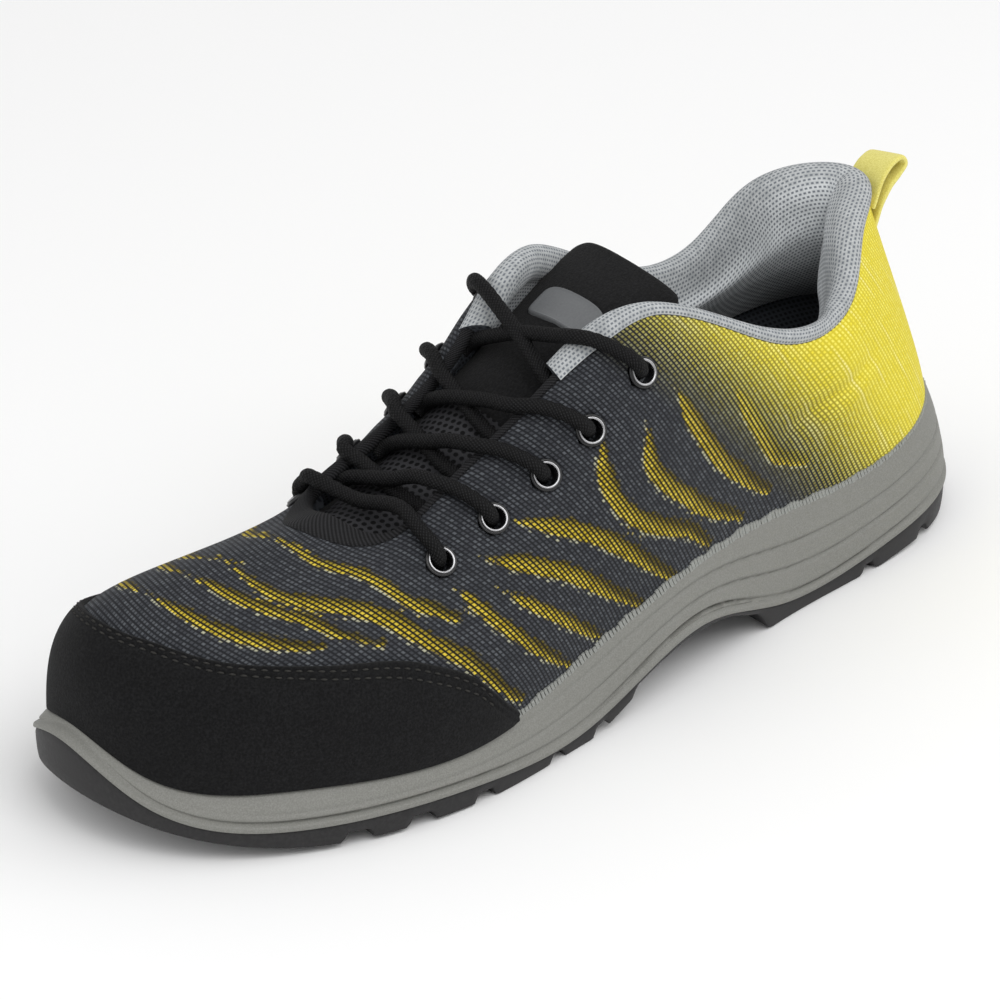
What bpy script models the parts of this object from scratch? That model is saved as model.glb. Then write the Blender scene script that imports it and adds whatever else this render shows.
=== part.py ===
"""Low-cut safety shoe for the left foot: a knitted upper on a two-layer sole, laced, with a padded collar.

Sole, upper, toe cap and collar come from one table of ribs. A rib runs from the edge of the sole up to
the edge of the opening, and a closed curve through each column of the table joins the ribs round the shoe.
Sizes are in millimetres here, with the heel near x = 0, the toe towards +X, the outer side of the foot
towards +Y and the floor at z = 0. Each piece is scaled to metres and centred when its mesh is made.
"""

import math

import bmesh
import bpy
import numpy as np

# Driving sizes
MM = 0.001
GAP = 0.3
WALL = 2.5
LEVEL_BAND = 0.2
ROUND_STEPS = 64
UP_STEPS = 9

# Sole layers
TREAD_THICKNESS = 5.0
TREAD_BEVEL = 0.6
RIM_WIDTH = 2.5
CUP_FILLET = 1.0
CUP_FLOOR = 3.0
CUP_GAP = 0.7
LIP_GAP = 0.4
CUP_STEP = 0.5
LEDGE = 2.2
SEAT_SLOPE = 1.0
INSOLE_THICKNESS = 4.0
INSOLE_SIDE_GAP = 2.2
INSOLE_BEVEL = 1.0

# Grooves between the lugs, by their places along the foot
GROOVE_WIDTH = 4.5
GROOVE_DEPTH = 3.0
GROOVE_REACH = 80.0
FOREFOOT_GROOVES = (244.0, 226.0, 205.5, 178.0, 160.5)
HEEL_GROOVES = (69.5, 45.5, 20.0)

# Toe cap
CAP_THICKNESS = 1.2
CAP_GAP = 0.7
CAP_STEPS = 26
CAP_UP_STEPS = 5
CAP_FOOT = 0.02

# Padded collar
COLLAR_RIBS = (4.6, 15.4)
COLLAR_GAP = 0.6
COLLAR_STEPS = 40
COLLAR_TAPER = 0.7
COLLAR_END_SIZE = 0.45
COLLAR_BOTTOM = 0.40
COLLAR_FRONT_BOTTOM = 0.82
PAD_START = 0.96
PAD_TOP = 6.0
PAD_BOTTOM = 2.0

# Lacing
EYELET_FLANGE_RADIUS = 4.3
EYELET_BARREL_RADIUS = 3.0
EYELET_HOLE_RADIUS = 2.4
EYELET_FLANGE = 0.9
EYELET_LIFT = 0.5
EYELET_BEVEL = 0.4
EYELET_SIDES = 12
LACE_RADIUS = 2.4
LACE_SIDES = 8
LACE_CLEARANCE = 1.1
LACE_STEPS = 11
BAR_STEPS = 18
FLAP_LEVELS = (0.84, 0.9, 0.955, 0.995)
BAR_LIFT = -0.2
OVER_LIFT = 2.2
FLAP_LEAN = 0.43
CROSS_LEAN = 0.68
STRAND_STOP = 6.0

# Pull loop
STRAP_WIDTH = 13.0
STRAP_THICKNESS = 1.8
STRAP_STEPS = 20

# Ribs round the shoe: sole edge and its lip and tread heights, the line where the upper leaves the sole,
# the edge of the opening, and the two handles that bow the rib between them
RIB_COLUMNS = ("name", "sole_x", "sole_y", "lip_z", "tread_z", "inset", "feather_z",
               "edge_x", "edge_y", "edge_z", "rise", "flare", "reach", "lift")
WALL_COLUMNS = RIB_COLUMNS[RIB_COLUMNS.index("inset"):]
RIBS = (
    ("toe_tip", 295.5, -11, 27, 13, 5.5, 30, 213.5, -1, 66, 37, 0, 58, -6),
    ("toe_lateral", 289.5, 14.5, 16, 9.5, 5.5, 22, 211.5, 8.5, 64.5, 35, 1, 46, -7.5),
    ("cap_lateral", 258, 41.5, 8, 2, 6, 17.5, 204.5, 16, 65, 29.5, 2, 22.5, -7),
    ("ball_lateral", 206, 53, 6, 0, 4.5, 15.5, 187.5, 17, 72.5, 20.5, 3, 8, -3),
    ("vamp_lateral", 162.5, 49, 5.5, 0, 4.5, 23, 156, 17.5, 88, 25, 3, 11, -1),
    ("waist_lateral", 121.5, 45.5, 17, 15, 4, 33, 120, 23.5, 102, 25, 2, 9, -6),
    ("breast_lateral", 98, 41, 11, 9, 4.3, 33, 94, 26.5, 90, 19, 2, 7, -6.3),
    ("dip_lateral", 82.5, 38, 6, 0, 4.5, 31.5, 77.5, 28, 80.5, 16, 2, 6.5, -6),
    ("heel_lateral", 40, 34.5, 7, 0, 4.5, 30, 47, 26.5, 82.5, 18.5, 1, 6.5, -6.5),
    ("back_lateral", 7, 25, 10.5, 1.5, 6, 35.5, 31.5, 14.5, 94, 16.5, -2, 4, -5),
    ("heel_back", -7.5, 0, 10.5, 2, 6.5, 38, 18.5, 0, 98, 15, -3.5, 2, -6),
    ("back_medial", 6.5, -25, 10.5, 1.5, 6, 35.5, 32, -16, 97.5, 16.5, -2, 4, -5),
    ("heel_medial", 40, -35.5, 7, 0, 4.5, 31, 47, -26, 86, 18.5, 1, 6.5, -6.5),
    ("dip_medial", 82, -35, 6, 0, 4.5, 32.5, 80, -27.5, 81, 16, 2, 6.5, -6),
    ("breast_medial", 98.5, -34, 11, 9, 4.3, 34.5, 97, -27, 90, 19, 2, 7, -6.3),
    ("waist_medial", 123.5, -34, 17, 15, 4, 35, 121.5, -25, 103, 25, 2, 9, -6),
    ("vamp_medial", 168, -41, 5.5, 0, 4.5, 24, 153.5, -18, 86, 25, 3, 11, -1),
    ("ball_medial", 211, -48, 6, 0, 4.5, 17, 188.5, -18.5, 69.5, 19, 3, 4.5, -4),
    ("cap_medial", 258.5, -46, 8, 2, 6, 17.5, 206.5, -17, 63, 27, 2, 17, -10.5),
    ("toe_medial", 286, -34, 17, 9.5, 5, 23.5, 212, -9.5, 63.5, 38, 0, 54.5, -9),
)
HEEL_RIB = 10
RIB_COUNT = len(RIBS)
RIB_TABLE = {name: np.array([rib[i] for rib in RIBS]) for i, name in enumerate(RIB_COLUMNS) if i}

# Height of the floor inside the sole, along the foot
FLOOR_COLUMNS = ("x", "z")
FLOOR = ((-10, 28), (40, 26.5), (80, 26.5), (122, 24.5), (165, 18.5), (206, 13.5), (258, 15.5),
         (285, 21.5), (300, 25))

# Side of the midsole: share of its height and share of its inward lean
SIDE_COLUMNS = ("height", "lean")
MIDSOLE_SIDE = ((0.0, 0.05), (0.14, 0.0), (0.5, 0.3), (0.86, 0.78), (1.0, 1.0))

# Top edge of the toe cap: rib and share of the rib's height that the cap covers
CAP_COLUMNS = ("rib", "height")
CAP_EDGE = ((-3.35, 0.03), (-3.0, 0.2), (-2.5, 0.38), (-1.6, 0.45), (-0.9, 0.41), (0.2, 0.385),
            (0.7, 0.415), (1.6, 0.45), (2.5, 0.395), (3.0, 0.22), (3.35, 0.03))

# Rolled top of the collar: how far past the edge, and how far outside the upper's surface
ROLL_COLUMNS = ("past", "out")
ROLL = ((COLLAR_GAP, 0.0), (2.4, 1.2), (5.0, 0.2), (6.4, -2.6), (5.6, -5.8), (3.0, -8.2))
PAD_LEVELS = (1.0, 0.75, 0.5, 0.25, 0.0)

# Tongue along the foot: middle height, half width, drop of both sides, tilt to the outer side and thickness
TONGUE_COLUMNS = ("x", "z", "half_width", "drop", "tilt", "thickness")
TONGUE = (
    (236, 58.1, 15, 6.0, 0.0, 2.2),
    (210, 62.5, 19, 7.5, 0.0, 2.6),
    (188, 69.5, 21, 9.5, 0.0, 3.2),
    (156, 86.0, 22, 9.5, 0.0, 4.2),
    (130, 95.5, 19, 6.0, 0.6, 5.0),
    (116, 99.2, 16.8, 2.5, 1.2, 5.0),
    (103.5, 101.4, 17.2, 0.6, 1.6, 4.0),
)
TONGUE_EDGE_THINNING = 0.5
TONGUE_LENGTH_STEPS = 16
TONGUE_WIDTH_STEPS = 8

# Eyelets of one side, from the toe end: rib and share of the rib's height; the other side mirrors the ribs
EYELET_COLUMNS = ("rib", "height")
EYELETS = ((2.84, 0.675), (3.39, 0.667), (3.87, 0.65), (4.28, 0.658), (4.78, 0.725))

# Middle line of the folded strap of the pull loop, behind the collar
STRAP_COLUMNS = ("x", "z")
STRAP = ((14.2, 89.0), (15.3, 93.0), (13.8, 96.8), (9.2, 100.2), (7.2, 102.6), (9.6, 103.8), (14.0, 101.2),
         (16.6, 99.2))

# Colour, roughness and metallic value of each material
MATERIALS = {
    "outsole_rubber": ((0.045, 0.043, 0.045), 0.75, 0.0),
    "midsole_foam": ((0.26, 0.26, 0.235), 0.7, 0.0),
    "insole_textile": ((0.05, 0.05, 0.055), 0.9, 0.0),
    "knit": ((0.09, 0.09, 0.075), 0.85, 0.0),
    "suede": ((0.02, 0.02, 0.021), 0.95, 0.0),
    "collar_mesh": ((0.3, 0.31, 0.33), 0.85, 0.0),
    "tongue_textile": ((0.018, 0.018, 0.02), 0.9, 0.0),
    "loop_webbing": ((0.75, 0.66, 0.17), 0.85, 0.0),
    "lace_cord": ((0.015, 0.015, 0.016), 0.8, 0.0),
    "eyelet_steel": ((0.72, 0.72, 0.73), 0.22, 1.0),
}


def column(table, columns, name):
    """One named column of a table, as an array."""
    return np.array([row[columns.index(name)] for row in table], dtype=float)


def hermite(start, end, slope_in, slope_out, width, share):
    """Cubic between two values with given slopes, at a share of the width between them."""
    square = share * share
    cube = square * share
    return ((2 * cube - 3 * square + 1) * start + (cube - 2 * square + share) * width * slope_in
            + (3 * square - 2 * cube) * end + (cube - square) * width * slope_out)


def open_curve(knots, values, at):
    """Smooth curve through values at rising knots, with slopes taken from the neighbouring points."""
    knots = np.asarray(knots, dtype=float)
    values = np.asarray(values, dtype=float).reshape(len(knots), -1)
    slopes = np.gradient(values, knots, axis=0)
    at = np.clip(at, knots[0], knots[-1])
    span = np.clip(np.searchsorted(knots, at, side="right") - 1, 0, len(knots) - 2)
    width = np.diff(knots)[span]
    share = ((at - knots[span]) / width)[:, None]
    return hermite(values[span], values[span + 1], slopes[span], slopes[span + 1], width[:, None], share)


def closed_curve(knots, values, at):
    """Closed curve through the values with no jump in slope or bend; the last knot is the whole way round."""
    count = len(values)
    width = np.diff(knots)
    after = np.roll(values, -1, axis=0)
    chord = (after - values) / width[:, None]
    before = np.arange(count) - 1
    system = np.zeros((count, count))
    index = np.arange(count)
    system[index, before] = width
    system[index, index] = 2 * (width[before] + width)
    system[index, (index + 1) % count] = width[before]
    slopes = np.linalg.solve(system, 3 * (width[:, None] * chord[before] + width[before, None] * chord))
    at = np.mod(at, knots[-1])
    span = np.clip(np.searchsorted(knots, at, side="right") - 1, 0, count - 1)
    share = ((at - knots[span]) / width[span])[:, None]
    return hermite(values[span], after[span], slopes[span], np.roll(slopes, -1, axis=0)[span],
                   width[span, None], share)


def rib_knots():
    """Distance round the sole's edge to each rib, as a share of the whole way round."""
    points = np.stack([RIB_TABLE["sole_x"], RIB_TABLE["sole_y"]], axis=1)
    steps = np.linalg.norm(np.roll(points, -1, axis=0) - points, axis=1)
    return np.concatenate([[0.0], np.cumsum(steps) / steps.sum()])


KNOTS = rib_knots()


def at_rib(rib):
    """Place round the shoe of a rib number, which may lie between two ribs or before the first."""
    rib = np.asarray(rib, dtype=float)
    return np.interp(np.mod(rib, RIB_COUNT), np.arange(RIB_COUNT + 1), KNOTS) + np.floor(rib / RIB_COUNT)


def rib_values(names, around):
    """Columns of the rib table, read at places round the shoe."""
    values = np.stack([RIB_TABLE[name] for name in names], axis=1)
    return closed_curve(KNOTS, values, around).T


def sole_edge(around):
    """Points of the sole's edge seen from above, and the directions that point straight out of it."""
    step = 0.001
    point = np.stack(rib_values(("sole_x", "sole_y"), around), axis=1)
    ahead = np.stack(rib_values(("sole_x", "sole_y"), around + step), axis=1)
    behind = np.stack(rib_values(("sole_x", "sole_y"), around - step), axis=1)
    along = ahead - behind
    along /= np.linalg.norm(along, axis=1, keepdims=True)
    return point, np.stack([along[:, 1], -along[:, 0]], axis=1)


def surface(around, up):
    """Outer face of the upper: bowed ribs round the shoe, each from the sole at 0 to the edge at 1."""
    point, outward = sole_edge(around)
    inset, feather_z, edge_x, edge_y, edge_z, rise, flare, reach, lift = rib_values(WALL_COLUMNS, around)
    foot = np.column_stack([point - outward * inset[:, None], feather_z])
    edge = np.column_stack([edge_x, edge_y, edge_z])
    low_handle = foot + np.column_stack([outward * flare[:, None], rise])
    inward = (edge - foot) * (1, 1, 0)
    inward /= np.linalg.norm(inward, axis=1, keepdims=True)
    high_handle = edge - inward * reach[:, None]
    high_handle[:, 2] += lift
    up = np.broadcast_to(np.asarray(up, dtype=float), (len(around), np.shape(up)[-1]))[:, :, None]
    down = 1 - up
    return (down ** 3 * foot[:, None] + 3 * down ** 2 * up * low_handle[:, None]
            + 3 * down * up ** 2 * high_handle[:, None] + up ** 3 * edge[:, None])


def surface_normals(around, up):
    """Directions straight out of the upper, level at the sole so that the wall stands on a flat rim."""
    step = 0.002
    up = np.broadcast_to(np.asarray(up, dtype=float), (len(around), np.shape(up)[-1]))
    climb = surface(around, up + step) - surface(around, up - step)
    along = surface(around + step, up) - surface(around - step, up)
    normal = np.cross(along, climb)
    normal /= np.linalg.norm(normal, axis=2, keepdims=True)
    normal[:, :, 2] *= np.clip(up / LEVEL_BAND, 0.0, 1.0)
    return normal / np.linalg.norm(normal, axis=2, keepdims=True)


def off_surface(around, up, distance):
    """Points at a distance outside (or inside, if below zero) the upper's outer face."""
    return surface(around, up) + surface_normals(around, up) * np.asarray(distance)


def around_shoe():
    """Places round the shoe, the same number on each side between the toe and the heel."""
    half = ROUND_STEPS // 2
    heel = KNOTS[HEEL_RIB]
    return np.concatenate([np.linspace(0, heel, half, endpoint=False),
                           np.linspace(heel, 1, half, endpoint=False)])


AROUND = around_shoe()
EDGE_POINTS = sole_edge(AROUND)[0]
CENTRE = np.append((EDGE_POINTS.min(axis=0) + EDGE_POINTS.max(axis=0)) / 2, 0.0)


def grid_faces(rows, columns, wrap_rows=False, wrap_columns=False):
    """Four-sided faces of a grid of points, whose rows or columns may close on themselves."""
    row = np.arange(rows if wrap_rows else rows - 1)[:, None]
    col = np.arange(columns if wrap_columns else columns - 1)[None, :]
    next_row = (row + 1) % rows
    next_col = (col + 1) % columns
    corners = [row * columns + col, next_row * columns + col,
               next_row * columns + next_col, row * columns + next_col]
    return np.stack(corners, axis=-1).reshape(-1, 4).tolist()


def cross_strip(first, count):
    """Faces that close a loop of points by joining each one to its partner across the shoe."""
    faces = [(first, first + 1, first + count - 1)]
    half = count // 2
    for step in range(1, half - 1):
        faces.append((first + step, first + step + 1, first + count - step - 1, first + count - step))
    faces.append((first + half - 1, first + half, first + half + 1))
    return faces


def material_named(name):
    """Principled material with the colour, roughness and metallic value in the table."""
    if name in bpy.data.materials:
        return bpy.data.materials[name]
    colour, roughness, metallic = MATERIALS[name]
    material = bpy.data.materials.new(name)
    material.use_nodes = True
    shader = material.node_tree.nodes["Principled BSDF"]
    shader.inputs["Base Color"].default_value = (*colour, 1.0)
    shader.inputs["Roughness"].default_value = roughness
    shader.inputs["Metallic"].default_value = metallic
    return material


def add_piece(name, points, faces, material, sharp=35.0):
    """Object of one piece: its points in metres about the shoe's centre, faces outward, shaded smooth."""
    points = (np.asarray(points, dtype=float).reshape(-1, 3) - CENTRE) * MM
    mesh = bpy.data.meshes.new(name)
    mesh.from_pydata(points.tolist(), [], faces)
    work = bmesh.new()
    work.from_mesh(mesh)
    bmesh.ops.recalc_face_normals(work, faces=work.faces)
    if work.calc_volume(signed=True) < 0:
        bmesh.ops.reverse_faces(work, faces=work.faces)
    work.to_mesh(mesh)
    work.free()
    mesh.shade_smooth()
    mesh.set_sharp_from_angle(angle=math.radians(sharp))
    piece = bpy.data.objects.new(name, mesh)
    bpy.context.scene.collection.objects.link(piece)
    if material:
        mesh.materials.append(material_named(material))
    return piece


def add_cutter(name, points, faces):
    """Hidden piece that only cuts or joins another one."""
    cutter = add_piece(name, points, faces, None)
    cutter.hide_render = True
    cutter.display_type = "WIRE"
    return cutter


def combine(piece, other, operation):
    """Boolean of a piece with another one."""
    modifier = piece.modifiers.new(operation.lower(), "BOOLEAN")
    modifier.operation = operation
    modifier.solver = "EXACT"
    modifier.object = other


def joined(parts):
    """Points and faces of several meshes as one list of points and one list of faces."""
    points, faces, first = [], [], 0
    for part_points, part_faces in parts:
        part_points = np.asarray(part_points, dtype=float).reshape(-1, 3)
        points.append(part_points)
        faces += [tuple(first + corner for corner in face) for face in part_faces]
        first += len(part_points)
    return np.concatenate(points), faces


def loft(loops):
    """Closed body through loops round the shoe, with its first and last loop closed across the shoe."""
    count = len(loops[0])
    faces = grid_faces(len(loops), count, wrap_columns=True)
    faces += cross_strip(0, count) + cross_strip((len(loops) - 1) * count, count)
    return np.concatenate(loops), faces


def sole_loop(inward, height):
    """Loop inside the sole's edge by a distance, at a height, each a number or an array round the shoe."""
    point, outward = sole_edge(AROUND)
    place = point - outward * np.broadcast_to(inward, len(AROUND))[:, None]
    return np.column_stack([place, np.broadcast_to(height, len(AROUND))])


def at_floor(loop, lift):
    """Loop dropped to the floor inside the sole, plus a lift."""
    height = open_curve(column(FLOOR, FLOOR_COLUMNS, "x"), column(FLOOR, FLOOR_COLUMNS, "z"), loop[:, 0])
    return np.column_stack([loop[:, :2], height[:, 0] + lift])


def tread_heights():
    """Height of the tread's underside round the shoe, never below the floor."""
    tread = rib_values(("tread_z",), AROUND)[0]
    return np.maximum(tread, 0.0)


def cup_heights():
    """Height of the tread's upper face inside its rim, always a little below the rim."""
    lip_z = rib_values(("lip_z",), AROUND)[0]
    return np.minimum(tread_heights() + TREAD_THICKNESS, lip_z - CUP_STEP)


def groove_bars():
    """Bars across the sole that cut the grooves between the lugs."""
    half = GROOVE_WIDTH / 2
    side_x = EDGE_POINTS[:ROUND_STEPS // 2, 0]
    side_tread = tread_heights()[:ROUND_STEPS // 2]
    faces = [(0, 1, 3, 2), (4, 6, 7, 5), (0, 4, 5, 1), (2, 3, 7, 6), (0, 2, 6, 4), (1, 5, 7, 3)]
    bars = []
    for x in FOREFOOT_GROOVES + HEEL_GROOVES:
        top = np.interp(x, side_x[::-1], side_tread[::-1]) + GROOVE_DEPTH
        corners = [(x + along, across, up) for along in (-half, half)
                   for across in (-GROOVE_REACH, GROOVE_REACH) for up in (-GROOVE_DEPTH, top)]
        bars.append((corners, faces))
    return joined(bars)


def outsole():
    """Rubber tread, cupped up round the toe, arched at the waist and grooved into lugs."""
    lip_z = rib_values(("lip_z",), AROUND)[0]
    tread = tread_heights()
    top = cup_heights()
    loops = [sole_loop(2 * TREAD_BEVEL, tread), sole_loop(TREAD_BEVEL, tread + TREAD_BEVEL),
             sole_loop(0.0, lip_z), sole_loop(RIM_WIDTH, lip_z),
             sole_loop(RIM_WIDTH + CUP_FILLET, top), sole_loop(RIM_WIDTH + CUP_FLOOR, top)]
    piece = add_piece("outsole", *loft(loops), "outsole_rubber")
    combine(piece, add_cutter("groove_cutter", *groove_bars()), "DIFFERENCE")


def midsole():
    """Foamed body of the sole, from the tread up to the line where the upper stands on it."""
    lip_z, inset, feather_z = rib_values(("lip_z", "inset", "feather_z"), AROUND)
    low, high = lip_z + LIP_GAP, feather_z - GAP
    bottom = cup_heights() + CUP_GAP
    loops = [sole_loop(RIM_WIDTH + CUP_FLOOR, bottom), sole_loop(RIM_WIDTH + CUP_FILLET + CUP_GAP, bottom),
             sole_loop(RIM_WIDTH + CUP_GAP, low)]
    heights, leans = column(MIDSOLE_SIDE, SIDE_COLUMNS, "height"), column(MIDSOLE_SIDE, SIDE_COLUMNS, "lean")
    for share, lean in zip(heights, leans):
        loops.append(sole_loop(lean * (inset - LEDGE), low + share * (high - low)))
    seat = inset + WALL + 2 * GAP
    loops += [sole_loop(seat, high), at_floor(sole_loop(seat + SEAT_SLOPE, 0.0), 0.0)]
    add_piece("midsole", *loft(loops), "midsole_foam")


def insole():
    """Loose footbed that lies on the floor of the sole."""
    edge = rib_values(("inset",), AROUND)[0] + WALL + INSOLE_SIDE_GAP
    top = GAP + INSOLE_THICKNESS
    loops = [at_floor(sole_loop(edge, 0.0), GAP), at_floor(sole_loop(edge, 0.0), top - INSOLE_BEVEL),
             at_floor(sole_loop(edge + INSOLE_BEVEL, 0.0), top)]
    add_piece("insole", *loft(loops), "insole_textile")


def shell(outer, inner, wrap):
    """Closed wall between two grids of the same size, with a rim along each open edge."""
    rows, columns = outer.shape[:2]
    count = rows * columns
    faces = grid_faces(rows, columns, wrap_rows=wrap)
    faces += [tuple(corner + count for corner in face[::-1]) for face in faces]
    edges = [np.arange(rows) * columns, np.arange(rows) * columns + columns - 1]
    if not wrap:
        edges += [np.arange(columns), np.arange(columns) + (rows - 1) * columns]
    for edge in edges:
        after = np.roll(edge, -1) if wrap else edge[1:]
        faces += [(a, b, b + count, a + count) for a, b in zip(edge.tolist(), after.tolist())]
    return np.concatenate([outer.reshape(-1, 3), inner.reshape(-1, 3)]), faces


def eyelet_places():
    """Name, place round the shoe and share of the rib's height of each eyelet."""
    places = []
    for number, (rib, height) in enumerate(EYELETS, start=1):
        places.append((f"eyelet_lateral_{number}", np.atleast_1d(at_rib(rib)), height))
        places.append((f"eyelet_medial_{number}", np.atleast_1d(at_rib(RIB_COUNT - rib)), height))
    return places


def eyelet_frame(around, up):
    """Centre of an eyelet on the upper's face, two directions along the face and the one out of it."""
    centre = surface(around, [up])[0, 0]
    normal = surface_normals(around, [up])[0, 0]
    along = np.cross(normal, (0.0, 0.0, 1.0))
    along /= np.linalg.norm(along)
    return centre, along, np.cross(normal, along), normal


def turned(frame, profile, sides, closed):
    """Body turned about an eyelet's axis from (radius, height) points, a ring or a plug with flat ends."""
    centre, along, across, normal = frame
    angle = np.arange(sides) * 2 * math.pi / sides
    ring = np.cos(angle)[:, None] * along + np.sin(angle)[:, None] * across
    points = np.stack([centre + ring * radius + normal * height for radius, height in profile])
    faces = grid_faces(len(profile), sides, wrap_rows=closed, wrap_columns=True)
    if not closed:
        last = (len(profile) - 1) * sides
        faces += [tuple(range(sides)), tuple(range(last, last + sides))]
    return points, faces


def upper():
    """Knitted shell with a real wall, open at the collar, the throat and underneath, with eyelet holes."""
    up = np.linspace(0.0, 1.0, UP_STEPS + 1)
    points, faces = shell(surface(AROUND, up), off_surface(AROUND, up, -WALL), wrap=True)
    piece = add_piece("upper", points, faces, "knit")
    radius = EYELET_BARREL_RADIUS + GAP
    plug = ((radius, -2 * WALL), (radius, 2 * WALL))
    plugs = [turned(eyelet_frame(around, height), plug, EYELET_SIDES, closed=False)
             for _, around, height in eyelet_places()]
    combine(piece, add_cutter("eyelet_cutter", *joined(plugs)), "DIFFERENCE")


def toe_cap():
    """Suede overlay round the toe, between two faces just outside the upper's own."""
    ribs = column(CAP_EDGE, CAP_COLUMNS, "rib")
    rib = np.linspace(ribs[0], ribs[-1], CAP_STEPS)
    height = open_curve(ribs, column(CAP_EDGE, CAP_COLUMNS, "height"), rib)
    up = CAP_FOOT + np.linspace(0.0, 1.0, CAP_UP_STEPS + 1) * height
    around = at_rib(rib)
    outer = off_surface(around, up, CAP_GAP + CAP_THICKNESS)
    points, faces = shell(outer, off_surface(around, up, CAP_GAP), wrap=False)
    add_piece("toe_cap", points, faces, "suede")


def collar():
    """Padded lining strip: a roll past the edge of the upper and a pad down the inside of the wall."""
    rib = np.linspace(*COLLAR_RIBS, COLLAR_STEPS)
    around = at_rib(rib)
    from_end = np.minimum(rib - rib[0], rib[-1] - rib) / COLLAR_TAPER
    full = np.clip(from_end, 0.0, 1.0) ** 2 * (3 - 2 * np.clip(from_end, 0.0, 1.0))
    bottom = COLLAR_FRONT_BOTTOM + (COLLAR_BOTTOM - COLLAR_FRONT_BOTTOM) * full
    edge = surface(around, [1.0])[:, 0]
    normal = surface_normals(around, [1.0])[:, 0]
    past = surface(around, [1.0])[:, 0] - surface(around, [0.98])[:, 0]
    past /= np.linalg.norm(past, axis=1, keepdims=True)
    size = (COLLAR_END_SIZE + (1 - COLLAR_END_SIZE) * full)[:, None]
    section = [edge + past * (COLLAR_GAP + (forward - COLLAR_GAP) * size) + normal * (out * size)
               for forward, out in zip(column(ROLL, ROLL_COLUMNS, "past"), column(ROLL, ROLL_COLUMNS, "out"))]
    levels = np.array(PAD_LEVELS)
    up = bottom[:, None] + (PAD_START - bottom[:, None]) * levels
    back = WALL + COLLAR_GAP
    pad = (PAD_BOTTOM + (PAD_TOP - PAD_BOTTOM) * levels) * size
    inside = off_surface(around, up, -(back + pad)[:, :, None])
    outside = off_surface(around, up[:, ::-1], -back)
    front = edge + past * COLLAR_GAP - normal * back
    rings = np.concatenate([np.stack(section, axis=1), inside, outside, front[:, None]], axis=1)
    count = rings.shape[1]
    faces = grid_faces(len(rib), count, wrap_columns=True)
    last = (len(rib) - 1) * count
    faces += [tuple(range(count)), tuple(range(last, last + count))]
    add_piece("collar", rings, faces, "collar_mesh")


def tongue_values(x):
    """Middle height, half width, drop, tilt and thickness of the tongue at places along the foot."""
    order = column(TONGUE, TONGUE_COLUMNS, "x").argsort()
    rows = np.array(TONGUE, dtype=float)[order]
    return open_curve(rows[:, 0], rows[:, 1:], x).T


def tongue_top(x, y):
    """Height of the tongue's top face, crowned across the foot."""
    middle, half_width, drop, tilt, _ = tongue_values(np.atleast_1d(x))
    share = y / half_width
    return middle - drop * share ** 2 - tilt * share


def tongue():
    """Padded tongue, a crowned strip from under the toe end of the throat up to the collar."""
    x = np.linspace(TONGUE[0][0], TONGUE[-1][0], TONGUE_LENGTH_STEPS + 1)
    share = np.linspace(-1.0, 1.0, TONGUE_WIDTH_STEPS + 1)
    middle, half_width, drop, tilt, thickness = (value[:, None] for value in tongue_values(x))
    across = half_width * share
    height = middle - drop * share ** 2 - tilt * share
    top = np.stack([np.broadcast_to(x[:, None], across.shape), across, height], axis=2)
    depth = thickness * (1 - TONGUE_EDGE_THINNING * share ** 4)
    under = top - np.stack([0 * across, 0 * across, depth], axis=2)
    points, faces = shell(top, under, wrap=False)
    add_piece("tongue", points, faces, "tongue_textile")


def tube(path, radius, sides):
    """Round cord along a path of points, closed at both ends."""
    path = np.asarray(path, dtype=float)
    along = np.gradient(path, axis=0)
    along /= np.linalg.norm(along, axis=1, keepdims=True)
    side = np.cross(along, (0.0, 0.0, 1.0))
    side /= np.linalg.norm(side, axis=1, keepdims=True)
    top = np.cross(side, along)
    angle = np.arange(sides) * 2 * math.pi / sides
    ring = np.cos(angle)[None, :, None] * side[:, None] + np.sin(angle)[None, :, None] * top[:, None]
    points = path[:, None] + ring * radius
    faces = grid_faces(len(path), sides, wrap_columns=True)
    last = (len(path) - 1) * sides
    faces += [tuple(range(sides)), tuple(range(last, last + sides))]
    return points, faces


def smooth_path(points, steps):
    """Points read from a smooth curve through a route's own points."""
    points = np.asarray(points, dtype=float)
    knots = np.concatenate([[0.0], np.cumsum(np.linalg.norm(np.diff(points, axis=0), axis=1))])
    return open_curve(knots, points, np.linspace(0.0, knots[-1], steps))


def side_ribs(side, rib):
    """Rib numbers of the outer side, or the same ones mirrored to the inner side."""
    return rib if side > 0 else RIB_COUNT - rib


def flap_points(side, number, lift=0.0):
    """Points of the lace from beside an eyelet to the flap's edge, leaning towards the toe on the way."""
    rib, height = EYELETS[number - 1]
    levels = np.array(FLAP_LEVELS)
    leaning = rib - FLAP_LEAN * (levels - height) / (1 - height)
    around = at_rib(side_ribs(side, leaning))
    return off_surface(around, levels[:, None], LACE_RADIUS + LACE_CLEARANCE + lift)[:, 0]


def throat_point(x, y, lift):
    """Point of the lace's middle line over the tongue."""
    return np.array([x, y, float(tongue_top(x, y)[0]) + LACE_RADIUS + LACE_CLEARANCE + lift])


def strand(side, number, lift):
    """Lace from one eyelet over its flap and the tongue, ending near the other flap's edge, closer to the toe."""
    own = flap_points(side, number)
    rib = side_ribs(-side, EYELETS[number - 1][0] - CROSS_LEAN)
    other = surface(np.atleast_1d(at_rib(rib)), [1.0])[0, 0]
    end_y = other[1] - math.copysign(STRAND_STOP, other[1])
    middle = (own[-1] + other) / 2
    between = ((middle[0] + other[0]) / 2, (middle[1] + end_y) / 2)
    route = [*own, throat_point(*middle[:2], lift), throat_point(*between, lift / 2),
             throat_point(other[0], end_y, 0.0)]
    return tube(smooth_path(route, LACE_STEPS), LACE_RADIUS, LACE_SIDES)


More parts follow.
